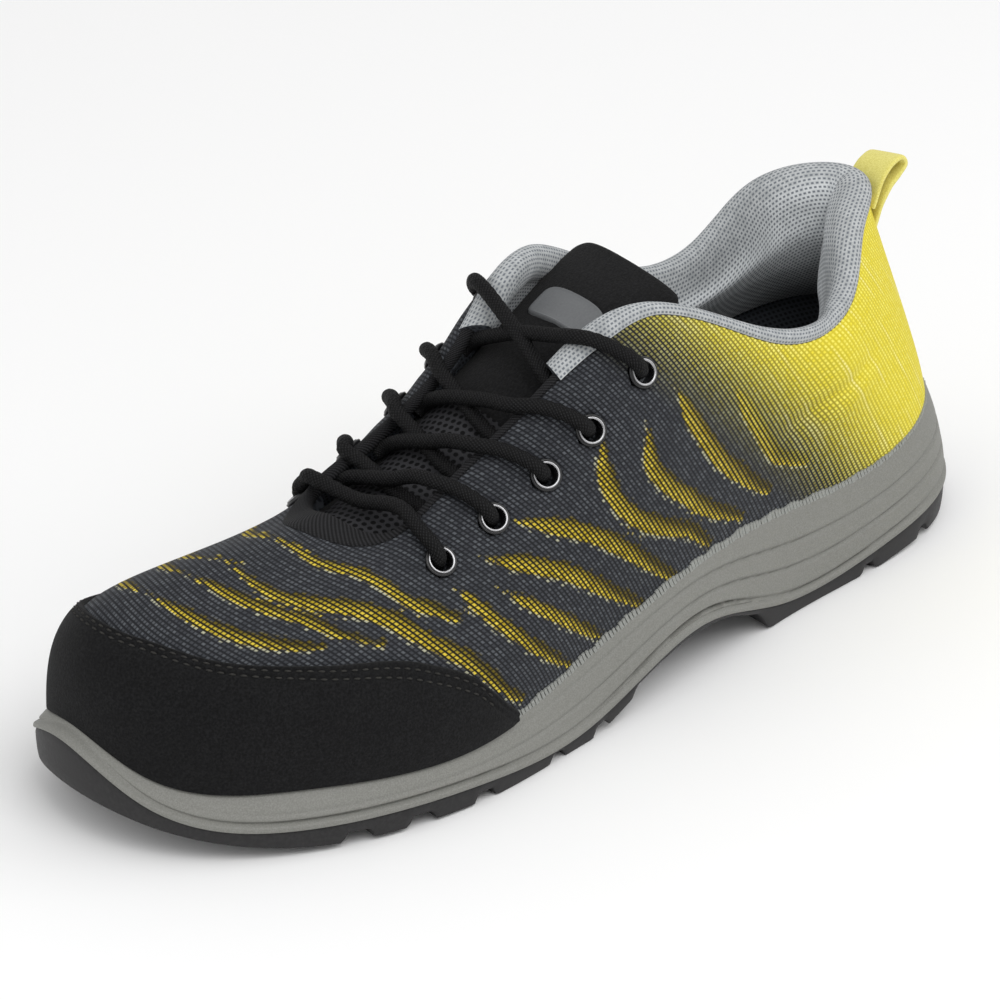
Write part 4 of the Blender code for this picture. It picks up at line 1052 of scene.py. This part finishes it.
HEEL_PAD, HEEL_PAD_RIB, HEEL_PAD_HALF, FOLD_RIB = 5.0, 0.75, 0.75, 0.43


def edge_frame(around):
    """Points of the opening's edge, directions out of the face there, and directions on past the edge."""
    edge, normal = surface(around, [1.0])[:, 0], surface_normals(around, [1.0])[:, 0]
    return edge, normal, unit(edge - surface(around, [0.98])[:, 0])


def heel_pads(rib):
    """Extra thickness of the two heel pads: a hump on each side that falls steeply into the fold between."""
    off = np.abs(rib - HEEL_RIB)
    hump = np.exp(-(np.maximum(off - HEEL_PAD_RIB, 0) / HEEL_PAD_HALF) ** 2)
    return HEEL_PAD * hump * smooth_step(off, 0.0, FOLD_RIB)


def collar_roll(rib, size):
    """Points over the edge: the section of the roll at its size, drawn down over the knit at both ends."""
    edge, normal, past = (values[:, None] for values in edge_frame(at_rib(rib)))
    at_end = 1 - smooth_step(np.minimum(rib - rib[0], rib[-1] - rib), *WRAP_RIBS)
    wrap = FRONT_WRAP * at_end[:, None, None] * (normal * WRAP_OUT - past) * WRAP_SHARES[:, None]
    return edge + (past * ROLL[:, :1] + normal * ROLL[:, 1:]) * size[:, :, None] + wrap


def collar_section(rib):
    """Ring at each place: a smooth curve over the roll and down the pad, then straight up behind it."""
    around, behind = at_rib(rib), WALL + COLLAR_GAP
    from_front = HEEL_RIB - np.abs(rib - HEEL_RIB)
    size = open_curve(COLLAR_SIZES[:, 0], COLLAR_SIZES[:, 1], from_front)
    full = smooth_step(np.minimum(rib - rib[0], rib[-1] - rib) / COLLAR_TAPER)[:, None]
    bottom = COLLAR_FRONT_BOTTOM + (COLLAR_BOTTOM - COLLAR_FRONT_BOTTOM) * full
    up = bottom + (PAD_START - bottom) * PAD_LEVELS
    ankle = smooth_step(from_front, *ANKLE_FROM) * (1 - ANKLE_LESS * smooth_step(from_front, *ANKLE_TO))
    swell = np.sin(np.pi * (PAD_LEVELS * SWELL_SCALE + SWELL_START))
    pad = PAD_THICK * size + ankle[:, None] * PAD_FILL + heel_pads(rib)[:, None] * swell
    inside = off_surface(around, up, -(behind + pad)[:, :, None])
    route = np.concatenate([collar_roll(rib, size), inside], axis=1)
    mean_steps = np.linalg.norm(np.diff(route, axis=1), axis=2).mean(axis=0)
    knots = np.concatenate([[0.0], np.cumsum(mean_steps)])
    read = np.linspace(0.0, knots[-1], COLLAR_ACROSS)
    front = open_curve(knots, np.moveaxis(route, 1, 0).reshape(len(knots), -1), read)
    front = np.moveaxis(front.reshape(COLLAR_ACROSS, len(rib), 3), 0, 1)
    edge, normal, past = (values[:, None] for values in edge_frame(around))
    back_of_pad = off_surface(around, up[:, ::-1], -behind)
    tuck = edge + past * TUCK_PAST - normal * behind
    return np.concatenate([front, back_of_pad, tuck, edge + past * SEAM_PAST], axis=1)


collar_points = collar_section(np.linspace(*COLLAR_RIBS, COLLAR_STEPS))
collar = add_piece("collar_padding", tube(collar_points), [spacer], ["collar"])

# %% [markdown]
# ## Tongue
#
# The tongue is a padded tab: soft black suede at the top, where fingers pull it, and a coarse breathable mesh
# lower down under the lace. It is a tube of flattened rings. Each ring is a rounded rectangle bent over the
# instep, so the edges are soft, and the rings shrink at the top to round off the corners.

# %% Tongue mesh finish
HEX_PITCH, HEX_ROW = 2.3, 0.87
tongue_mesh = Finish("tongue_mesh_finish", Roughness=0.8, Specular_IOR_Level=0.2)
along, across = tongue_mesh.map()
_, _, off_row, off_column = tongue_mesh.staggered(along, HEX_PITCH * HEX_ROW, across, HEX_PITCH)
squares = [tongue_mesh.math("POWER", off, 2.0) for off in (off_row, off_column)]
hole = tongue_mesh.fall(tongue_mesh.math("SQRT", tongue_mesh.math("ADD", *squares)), 0.26, 0.40)
fibre = tongue_mesh.mix(tongue_mesh.noise(3500.0, 2.0), (0.018, 0.018, 0.020), (0.055, 0.055, 0.060))
tongue_mesh.colour(tongue_mesh.mix(hole, fibre, (0.0015, 0.0015, 0.002)))
tongue_mesh.bump(hole, 0.0009, -0.9)

# %% Tongue
TONGUE = np.array((
    (102.0, 102.4, 20.0, 0.6, 1.6, 4.0), (116, 99.4, 19.6, 2.5, 1.2, 5.0), (130, 94.2, 20.5, 6.0, 0.6, 5.0),
    (156, 81.8, 22, 7.5, 0.0, 4.2), (188, 66.2, 21, 7.5, 0.0, 3.2), (210, 60.6, 19, 7.0, 0.0, 2.6),
    (236, 58.1, 15, 6.0, 0.0, 2.2)))
TONGUE_STEPS, TONGUE_SIDES, CORNER, RIM, SQUARENESS = 150, 72, 5.0, 1.6, 5.0
MESH_FROM, MESH_SHARE, EDGE_THIN, END_THICK = 160.0, 0.72, 0.35, 0.35
TONGUE_LEAN, LEAN_SPAN = -2.0, (125.0, 160.0)


def tongue_values(x):
    """Middle height, half width, drop, tilt and thickness of the tongue, read from curves along the foot."""
    return open_curve(TONGUE[:, 0], TONGUE[:, 1:], np.atleast_1d(x)).T


def tongue_lean(x):
    """Sideways shift of the tongue: its free end leans to the inner side of the foot."""
    return TONGUE_LEAN * (1 - smooth_step(x, *LEAN_SPAN))


def tongue_top(x, y):
    """Height of the top face: the middle, less a drop by the squared share of the width, less a tilt."""
    middle, half_width, drop, tilt, _ = tongue_values(x)
    share = (y - tongue_lean(x)) / half_width
    return middle - drop * share ** 2 - tilt * share


def end_share(distance, radius):
    """Rise from 0 at an end to 1 at a radius from it, along a quarter circle."""
    return np.sqrt(np.clip(1 - (1 - np.clip(distance / radius, 0, 1)) ** 2, 0, 1))


def boxed(wave, power):
    """A wave raised to a power below 1 with its sign kept, which turns a circle into a rounded rectangle."""
    return np.sign(wave) * np.abs(wave) ** power


tongue_x = TONGUE[0, 0] + (TONGUE[-1, 0] - TONGUE[0, 0]) * np.linspace(0, 1, TONGUE_STEPS) ** 1.5
middle, half_width, drop, tilt, thickness = (value[:, None] for value in tongue_values(tongue_x))
from_end = (tongue_x - TONGUE[0, 0])[:, None]
angle = ring_angles(TONGUE_SIDES)
share, level = boxed(np.cos(angle), 2 / SQUARENESS)[None], boxed(np.sin(angle), 2 / SQUARENESS)[None]
half_width = half_width - CORNER * (1 - end_share(from_end + 0.05, CORNER))
depth = thickness * (1 - EDGE_THIN * share ** 4) * (END_THICK + (1 - END_THICK) * end_share(from_end, RIM))
crown = middle - drop * share ** 2 - tilt * share
tongue_points = np.stack([np.broadcast_to(tongue_x[:, None], crown.shape),
                          half_width * share + tongue_lean(tongue_x)[:, None],
                          crown - thickness / 2 + depth * level / 2], axis=2)
mesh_rows = np.where(tongue_x[:-1, None] > MESH_FROM, 1, 0)
mesh_columns = np.where(np.abs(np.roll(share, -1, axis=1) + share) / 2 < MESH_SHARE, 1, 0)
tongue = add_piece("tongue_padding", tube(tongue_points, mesh_rows * mesh_columns), [suede, tongue_mesh],
                   ["tongue"])

# %% Plain rubber patch on the tongue
PATCH_MIDDLE, PATCH_HALF, PATCH_PROUD, PATCH_UNDER = (126.3, -3.0), (5.0, 11.5), 1.0, 1.2
PATCH_RINGS = np.array(((0.0, 1.0), (0.55, 1.0), (0.9, 0.97), (1.0, 0.93), (0.8, 0.86), (0.72, 0.82),
                        (0.75, 0.5), (0.78, 0.001)))
PATCH_SIDES, PATCH_POWER = 96, 0.45
patch_rubber, _ = grainy("patch_rubber_finish", (1800.0, 3.0), (0.10, 0.105, 0.11), (0.15, 0.155, 0.16),
                         (0.00008, 0.4), Roughness=0.5)
angle = ring_angles(PATCH_SIDES)
patch_x = PATCH_MIDDLE[0] + PATCH_HALF[0] * PATCH_RINGS[:, 1:] * boxed(np.cos(angle), PATCH_POWER)
patch_y = PATCH_MIDDLE[1] + PATCH_HALF[1] * PATCH_RINGS[:, 1:] * boxed(np.sin(angle), PATCH_POWER)
patch_z = tongue_top(patch_x.ravel(), patch_y.ravel()).reshape(patch_x.shape)
patch_points = np.stack([patch_x, patch_y, patch_z + PATCH_PROUD * PATCH_RINGS[:, :1]], axis=2)
patch_points = np.concatenate([patch_points[:1] - np.array((0, 0, PATCH_UNDER)), patch_points])
add_piece("tongue_patch", [grid(patch_points, wrap_columns=True), *end_caps(patch_points)], [patch_rubber],
          sharp=35.0)

# %% [markdown]
# ## Throat binding
#
# The raw edge of the knit round the lacing is bound with black twill tape, folded over it like a hem. It is a
# thin U-shaped profile carried along the edge, from one front end of the collar round the toe end of the
# throat to the other.

# %% Twill finish
twill = Finish("twill_finish", Roughness=0.8, Specular_IOR_Level=0.25)
along, across = twill.map()
_, off_line = twill.cell(twill.math("MULTIPLY_ADD", across, 0.8, along), 1.0)
_, off_yarn = twill.cell(twill.math("MULTIPLY_ADD", across, -2.0, along), 1.6)
raised = twill.spot(off_line, (0.12, 0.45), off_yarn, (0.3, 0.5), 0.5)
twill.colour(twill.mix(raised, (0.003, 0.003, 0.0035), (0.022, 0.022, 0.024)))
twill.bump(raised, 0.0004, 0.8)

# %% Binding
BINDING_RIBS, BINDING_STEPS = (-4.26, 4.26), 400
TAPE, TAPE_CLEAR, TAPE_WIDTH, TAPE_TOE, TAPE_TOE_RIBS = 0.65, 0.06, 3.2, 2.2, 1.3
TAPE_EDGE = np.array((0.35, 1, 1, 1, 1, 1, 1))[None, :, None]


def binding_points(rib):
    """U-shaped ring at each place: up the outside to the edge, round it and down the inside, then back again
    next to the knit, so that the tape has a thickness."""
    around = at_rib(rib)
    width = TAPE_WIDTH + TAPE_TOE * np.exp(-(rib / TAPE_TOE_RIBS) ** 2)
    below = width[:, None] * np.linspace(1.0, 0.12, TAPE_EDGE.size) / rib_length(around)[:, None]
    edge, normal, past = (values[:, None] for values in edge_frame(around))
    turn = np.linspace(0, math.pi, 11)[None, :, None]
    legs = []
    for off in (TAPE, TAPE_CLEAR):
        outer = off_surface(around, 1 - below, off * TAPE_EDGE)
        bend = edge - normal * WALL / 2 + (normal * np.cos(turn) + past * np.sin(turn)) * (WALL / 2 + off)
        inner = off_surface(around, 1 - below[:, ::-1], -WALL - off)
        legs.append(np.concatenate([outer, bend, inner], axis=1))
    return np.concatenate([legs[0], legs[1][:, ::-1]], axis=1)


binding = binding_points(np.linspace(*BINDING_RIBS, BINDING_STEPS))
add_piece("throat_binding", tube(binding), [twill])

# %% [markdown]
# ## Eyelets
#
# Each eyelet is a pressed tube with a wide black washer and a bright rolled rim. A turned profile, a list of
# radii and heights spun about the eyelet's own axis, gives all ten at once.

# %% Eyelets
EYELET_PROFILE = np.array(((2.85, -3.4), (2.8, -1.0), (2.85, 0.3), (3.0, 0.85), (3.3, 1.08), (3.6, 1.0),
                           (3.78, 0.72), (3.85, 0.6), (4.1, 0.62), (4.3, 0.45), (4.35, 0.15), (4.2, -0.3),
                           (3.2, -0.6), (3.15, -3.4)))
RIM_ROWS, EYELET_SIDES = (2, 3, 4), 40
steel = Finish("eyelet_rim_finish", Metallic=1.0)
polish = steel.noise(2200.0, 2.0)
steel.colour(steel.mix(polish, (0.36, 0.36, 0.37), (0.50, 0.50, 0.51)))
steel.rough(steel.ramp(polish, 0.2, 0.8, 0.18, 0.34))
black_enamel, _ = grainy("eyelet_washer_finish", (1200.0, 3.0), (0.006, 0.006, 0.007), (0.014, 0.014, 0.015),
                         (0.00005, 0.4), Roughness=0.35)


def turned(middle, towards, out):
    """Rings about an axis: the middle, plus radius times a turning direction, plus height times the axis."""
    angle = ring_angles(EYELET_SIDES)[:, None]
    ring = np.cos(angle) * towards + np.sin(angle) * np.cross(out, towards)
    return middle + ring[None] * EYELET_PROFILE[:, 0, None, None] + out * EYELET_PROFILE[:, 1, None, None]


rim_finish = np.isin(np.arange(len(EYELET_PROFILE)), RIM_ROWS).astype(int)[:, None]
eyelet_rings = [grid(turned(*axes), None, True, True, rim_finish)
                for axes in zip(eyelet_middle, eyelet_towards, eyelet_out)]
eyelet_nodes = [f"eyelet_{side}_{number}" for side in ("lateral", "medial")
                for number in range(1, len(EYELETS) + 1)]
add_piece("eyelets", eyelet_rings, [black_enamel, steel], eyelet_nodes)

# %% [markdown]
# ## Lace
#
# A round braided lace starts with a bar at the toe end and then crosses at each pair of eyelets. Each strand
# comes up out of its eyelet, runs over the edge of its own flap, crosses the tongue and goes under the other
# flap a little lower down. The route is a smooth curve through such points, and the cord is a ring carried
# along it, whose radius swells where the plaits of the braid cross.

# %% Braid finish
PLAIT_PITCH, PLAIT_SPAN = 1.1, (0.1, 0.45)
braid = Finish("braid_finish", Roughness=0.7, Specular_IOR_Level=0.15)
along, across = braid.map()
_, off_right = braid.cell(braid.math("ADD", along, across), PLAIT_PITCH)
_, off_left = braid.cell(braid.math("SUBTRACT", along, across), PLAIT_PITCH)
plait = braid.spot(off_right, PLAIT_SPAN, off_left, PLAIT_SPAN, 0.2)
fuzz = braid.mix(braid.noise(5000.0, 2.0), (0.006, 0.006, 0.0065), (0.028, 0.028, 0.029))
braid.colour(braid.mix(plait, (0.002, 0.002, 0.0022), fuzz))
braid.bump(plait, 0.00025, 0.8)

# %% Routes of the lace
LACE_RADIUS, HOLE_POINTS = 2.05, ((-4.0, 0.0), (-0.4, 0.3), (2.3, 2.2))
FLAP_LEVELS = np.array((0.84, 0.9, 0.955, 0.995))
FLAP_LIFT = np.array((0.45, 0.4, 0.85, 0.95))
OVER_COLLAR = np.array((0.0, 0.3, 1.2, 1.5))
FLAP_LEANS, CROSS_LEAN, TUCK, SAG = (0.43, 0.43, 0.43, 0.43, 0.3), 0.67, 0.3, 1.5
CROSS_SHARES, CROSS_LAYERS = (0.27, 0.5, 0.76), np.array((0.65, 0.9, 0.65))
LOW_RISE, HIGH_RISE = (-0.3, -1.0, -1.0), (1.9, 0.6, 0.0)
LAST_ROW_RISE = {1: (1.5, 3.0, 2.8), -1: (1.5, 2.2, 1.2)}


def side_ribs(side, rib):
    """Rib numbers of the outer side, or the same ones mirrored to the inner side."""
    return rib if side > 0 else RIB_COUNT - rib


def out_of_eyelet(side, number):
    """Points up through the eyelet, over its rim and along the flap to its edge, leaning towards the toe."""
    index = number - 1 + (0 if side > 0 else len(EYELETS))
    middle, out = eyelet_middle[index], eyelet_out[index]
    rib, height = EYELETS[number - 1]
    leaning = rib - FLAP_LEANS[number - 1] * (FLAP_LEVELS - height) / (1 - height)
    lift = FLAP_LIFT + OVER_COLLAR * (number == len(EYELETS))
    flap = off_surface(at_rib(side_ribs(side, leaning)), FLAP_LEVELS[:, None],
                       (LACE_RADIUS + lift)[:, None, None])[:, 0]
    away = flap[0] - middle
    away = unit(away - out * (away @ out))
    return [middle + out * rise + away * aside for rise, aside in HOLE_POINTS] + list(flap)


def rest_on_tongue(point, layer=0.0):
    """A point of the lace's middle line, raised where it would sink into the tongue or a strand below it."""
    lowest = float(tongue_top(point[0], point[1])[0]) + LACE_RADIUS * (1 + 2 * layer)
    return np.array([point[0], point[1], max(point[2], lowest)])


def crossing(number, top_side):
    """Two routes from a pair of eyelets to under the other flap: nearly straight, one laid on the other."""
    routes = []
    for side in (1, -1):
        own = out_of_eyelet(side, number)
        other = np.atleast_1d(at_rib(side_ribs(-side, EYELETS[number - 1][0] - CROSS_LEAN)))
        under = off_surface(other, [1.0, 0.92], -(WALL + LACE_RADIUS + TUCK))[0]
        layers = CROSS_LAYERS * (side == top_side)
        rises = HIGH_RISE if side == top_side else LOW_RISE
        if number == len(EYELETS):
            rises = LAST_ROW_RISE[side]
        over = [rest_on_tongue(own[-1] * (1 - share) + under[0] * share + np.array((0, 0, rise)), layer)
                for share, rise, layer in zip(CROSS_SHARES, rises, layers)]
        routes.append(own + over + list(under))
    return routes


def first_bar():
    """Route of the bar, out of one eyelet of the first pair and into the other."""
    outer, inner = out_of_eyelet(1, 1), out_of_eyelet(-1, 1)
    return outer + [rest_on_tongue((outer[-1] + inner[-1]) / 2 - np.array((0, 0, SAG)))] + inner[::-1]


print("length of the bar's route in mm:", round(float(run_along(np.array(first_bar()))[-1]), 1))

# %% Lace
LACE_SIDES, RING_STEP, EASE = 24, 0.35, 2.2
PLAITS, PLAIT_LENGTH, PLAIT_MEAN, PLAIT_SWELL = 4, 2.8, 0.97, 0.05
TOP_SIDE = {2: 1, 3: 1, 4: 1, 5: -1}


def eased(path):
    """A path with its small kinks spread out: each point is a weighted mean of its neighbours, ends kept."""
    reach = int(3 * EASE / RING_STEP)
    weight = np.exp(-(np.arange(-reach, reach + 1) * RING_STEP / EASE) ** 2 / 2)
    longer = np.concatenate([2 * path[:1] - path[reach:0:-1], path, 2 * path[-1:] - path[-2:-reach - 2:-1]])
    return np.stack([np.convolve(longer[:, k], weight / weight.sum(), "valid") for k in range(3)], axis=1)


def cord(route):
    """Rings along a route, each a circle square to it whose radius swells along two crossing spirals."""
    steps = int(run_along(np.asarray(route))[-1] / RING_STEP)
    path = eased(smooth_path(route, steps))
    tangent = unit(np.gradient(path, axis=0))
    side = unit(np.cross(tangent, (1.0, 0.0, 0.0)))
    angle = ring_angles(LACE_SIDES)[None, :, None]
    phase = (np.arange(steps) * RING_STEP * 2 * math.pi / PLAIT_LENGTH)[:, None, None]
    swell = np.maximum(np.cos(PLAITS * angle + phase), np.cos(PLAITS * angle - phase))
    ring = np.cos(angle) * side[:, None] + np.sin(angle) * np.cross(side, tangent)[:, None]
    return path[:, None] + LACE_RADIUS * (PLAIT_MEAN + PLAIT_SWELL * swell) * ring


add_piece("lace_row_1", tube(cord(first_bar())), [braid], ["lace_bar"])
for number, top_side in TOP_SIDE.items():
    strands = [part for route in crossing(number, top_side) for part in tube(cord(route))]
    add_piece(f"lace_row_{number}", strands, [braid], [f"lace_cross_{number - 1}"])

# %% [markdown]
# ## Pull loop and footbed
#
# A strap of pale felt is folded in two behind the collar, to pull the shoe on by. Its section is a flat
# rounded rectangle carried along the folded line. The footbed is hidden deep inside, so its solid stays and
# only gets a cloth finish.

# %% Pull loop
STRAP = np.array(((17.2, 86.5), (15.7, 90.5), (14.6, 94.0), (12.2, 97.2), (8.6, 99.6), (6.5, 101.9),
                  (7.8, 104.2), (11.4, 103.6), (14.9, 100.6), (16.9, 97.4), (18.2, 93.5)))
STRAP_HALF, STRAP_THICK, STRAP_SIDES, STRAP_STEPS, HEEL_BEND, LOOP_TILT = 6.5, 0.85, 48, 110, 0.03, 0.21
FLAT_POWER, THICK_POWER, BEND_SPAN, LOOP_SPAN = 0.25, 0.55, (98.0, 90.0), (93.0, 100.0)
felt, _ = grainy("felt_finish", (2600.0, 4.0, 0.7), (0.68, 0.60, 0.11), (0.86, 0.79, 0.26), (0.0003, 0.7),
                 (0.3, 0.7), Roughness=0.95, Specular_IOR_Level=0.1, Sheen_Weight=0.2, Sheen_Roughness=0.6)
strap_line = smooth_path(np.column_stack([STRAP[:, 0], 0 * STRAP[:, 0], STRAP[:, 1]]), STRAP_STEPS)
tangent = unit(np.gradient(strap_line, axis=0))
strap_out = np.stack([-tangent[:, 2], tangent[:, 1], tangent[:, 0]], axis=1)
angle = ring_angles(STRAP_SIDES)[None, :, None]
strap_points = (strap_line[:, None] + strap_out[:, None] * boxed(np.sin(angle), THICK_POWER) * STRAP_THICK
                + np.array((0, STRAP_HALF, 0)) * boxed(np.cos(angle), FLAT_POWER))
x, y, z = np.moveaxis(strap_points, 2, 0)
x += HEEL_BEND * y ** 2 * smooth_step(z, *BEND_SPAN)
z += LOOP_TILT * y * smooth_step(z, *LOOP_SPAN)
add_piece("pull_loop_felt", tube(strap_points), [felt], ["pull_loop"])

# %% Footbed
KNOT_PITCH, KNOT_SPAN = 0.0012, (0.1, 0.45)
footbed = Finish("footbed_finish", Roughness=0.92, Specular_IOR_Level=0.15)
place = footbed.node("SeparateXYZ", {0: footbed.place()}).outputs
off_x, off_y = (footbed.cell(length, KNOT_PITCH)[1] for length in (place[0], place[1]))
cloth_knots = footbed.spot(off_x, KNOT_SPAN, off_y, KNOT_SPAN)
footbed.colour(footbed.mix(cloth_knots, (0.012, 0.012, 0.014), (0.017, 0.017, 0.019)))
footbed.bump(cloth_knots, 0.0002, 0.3)
insole_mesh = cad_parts["insole"].data
insole_mesh.materials.clear()
insole_mesh.materials.append(footbed.material)
print("footbed finish on", len(insole_mesh.polygons), "faces")
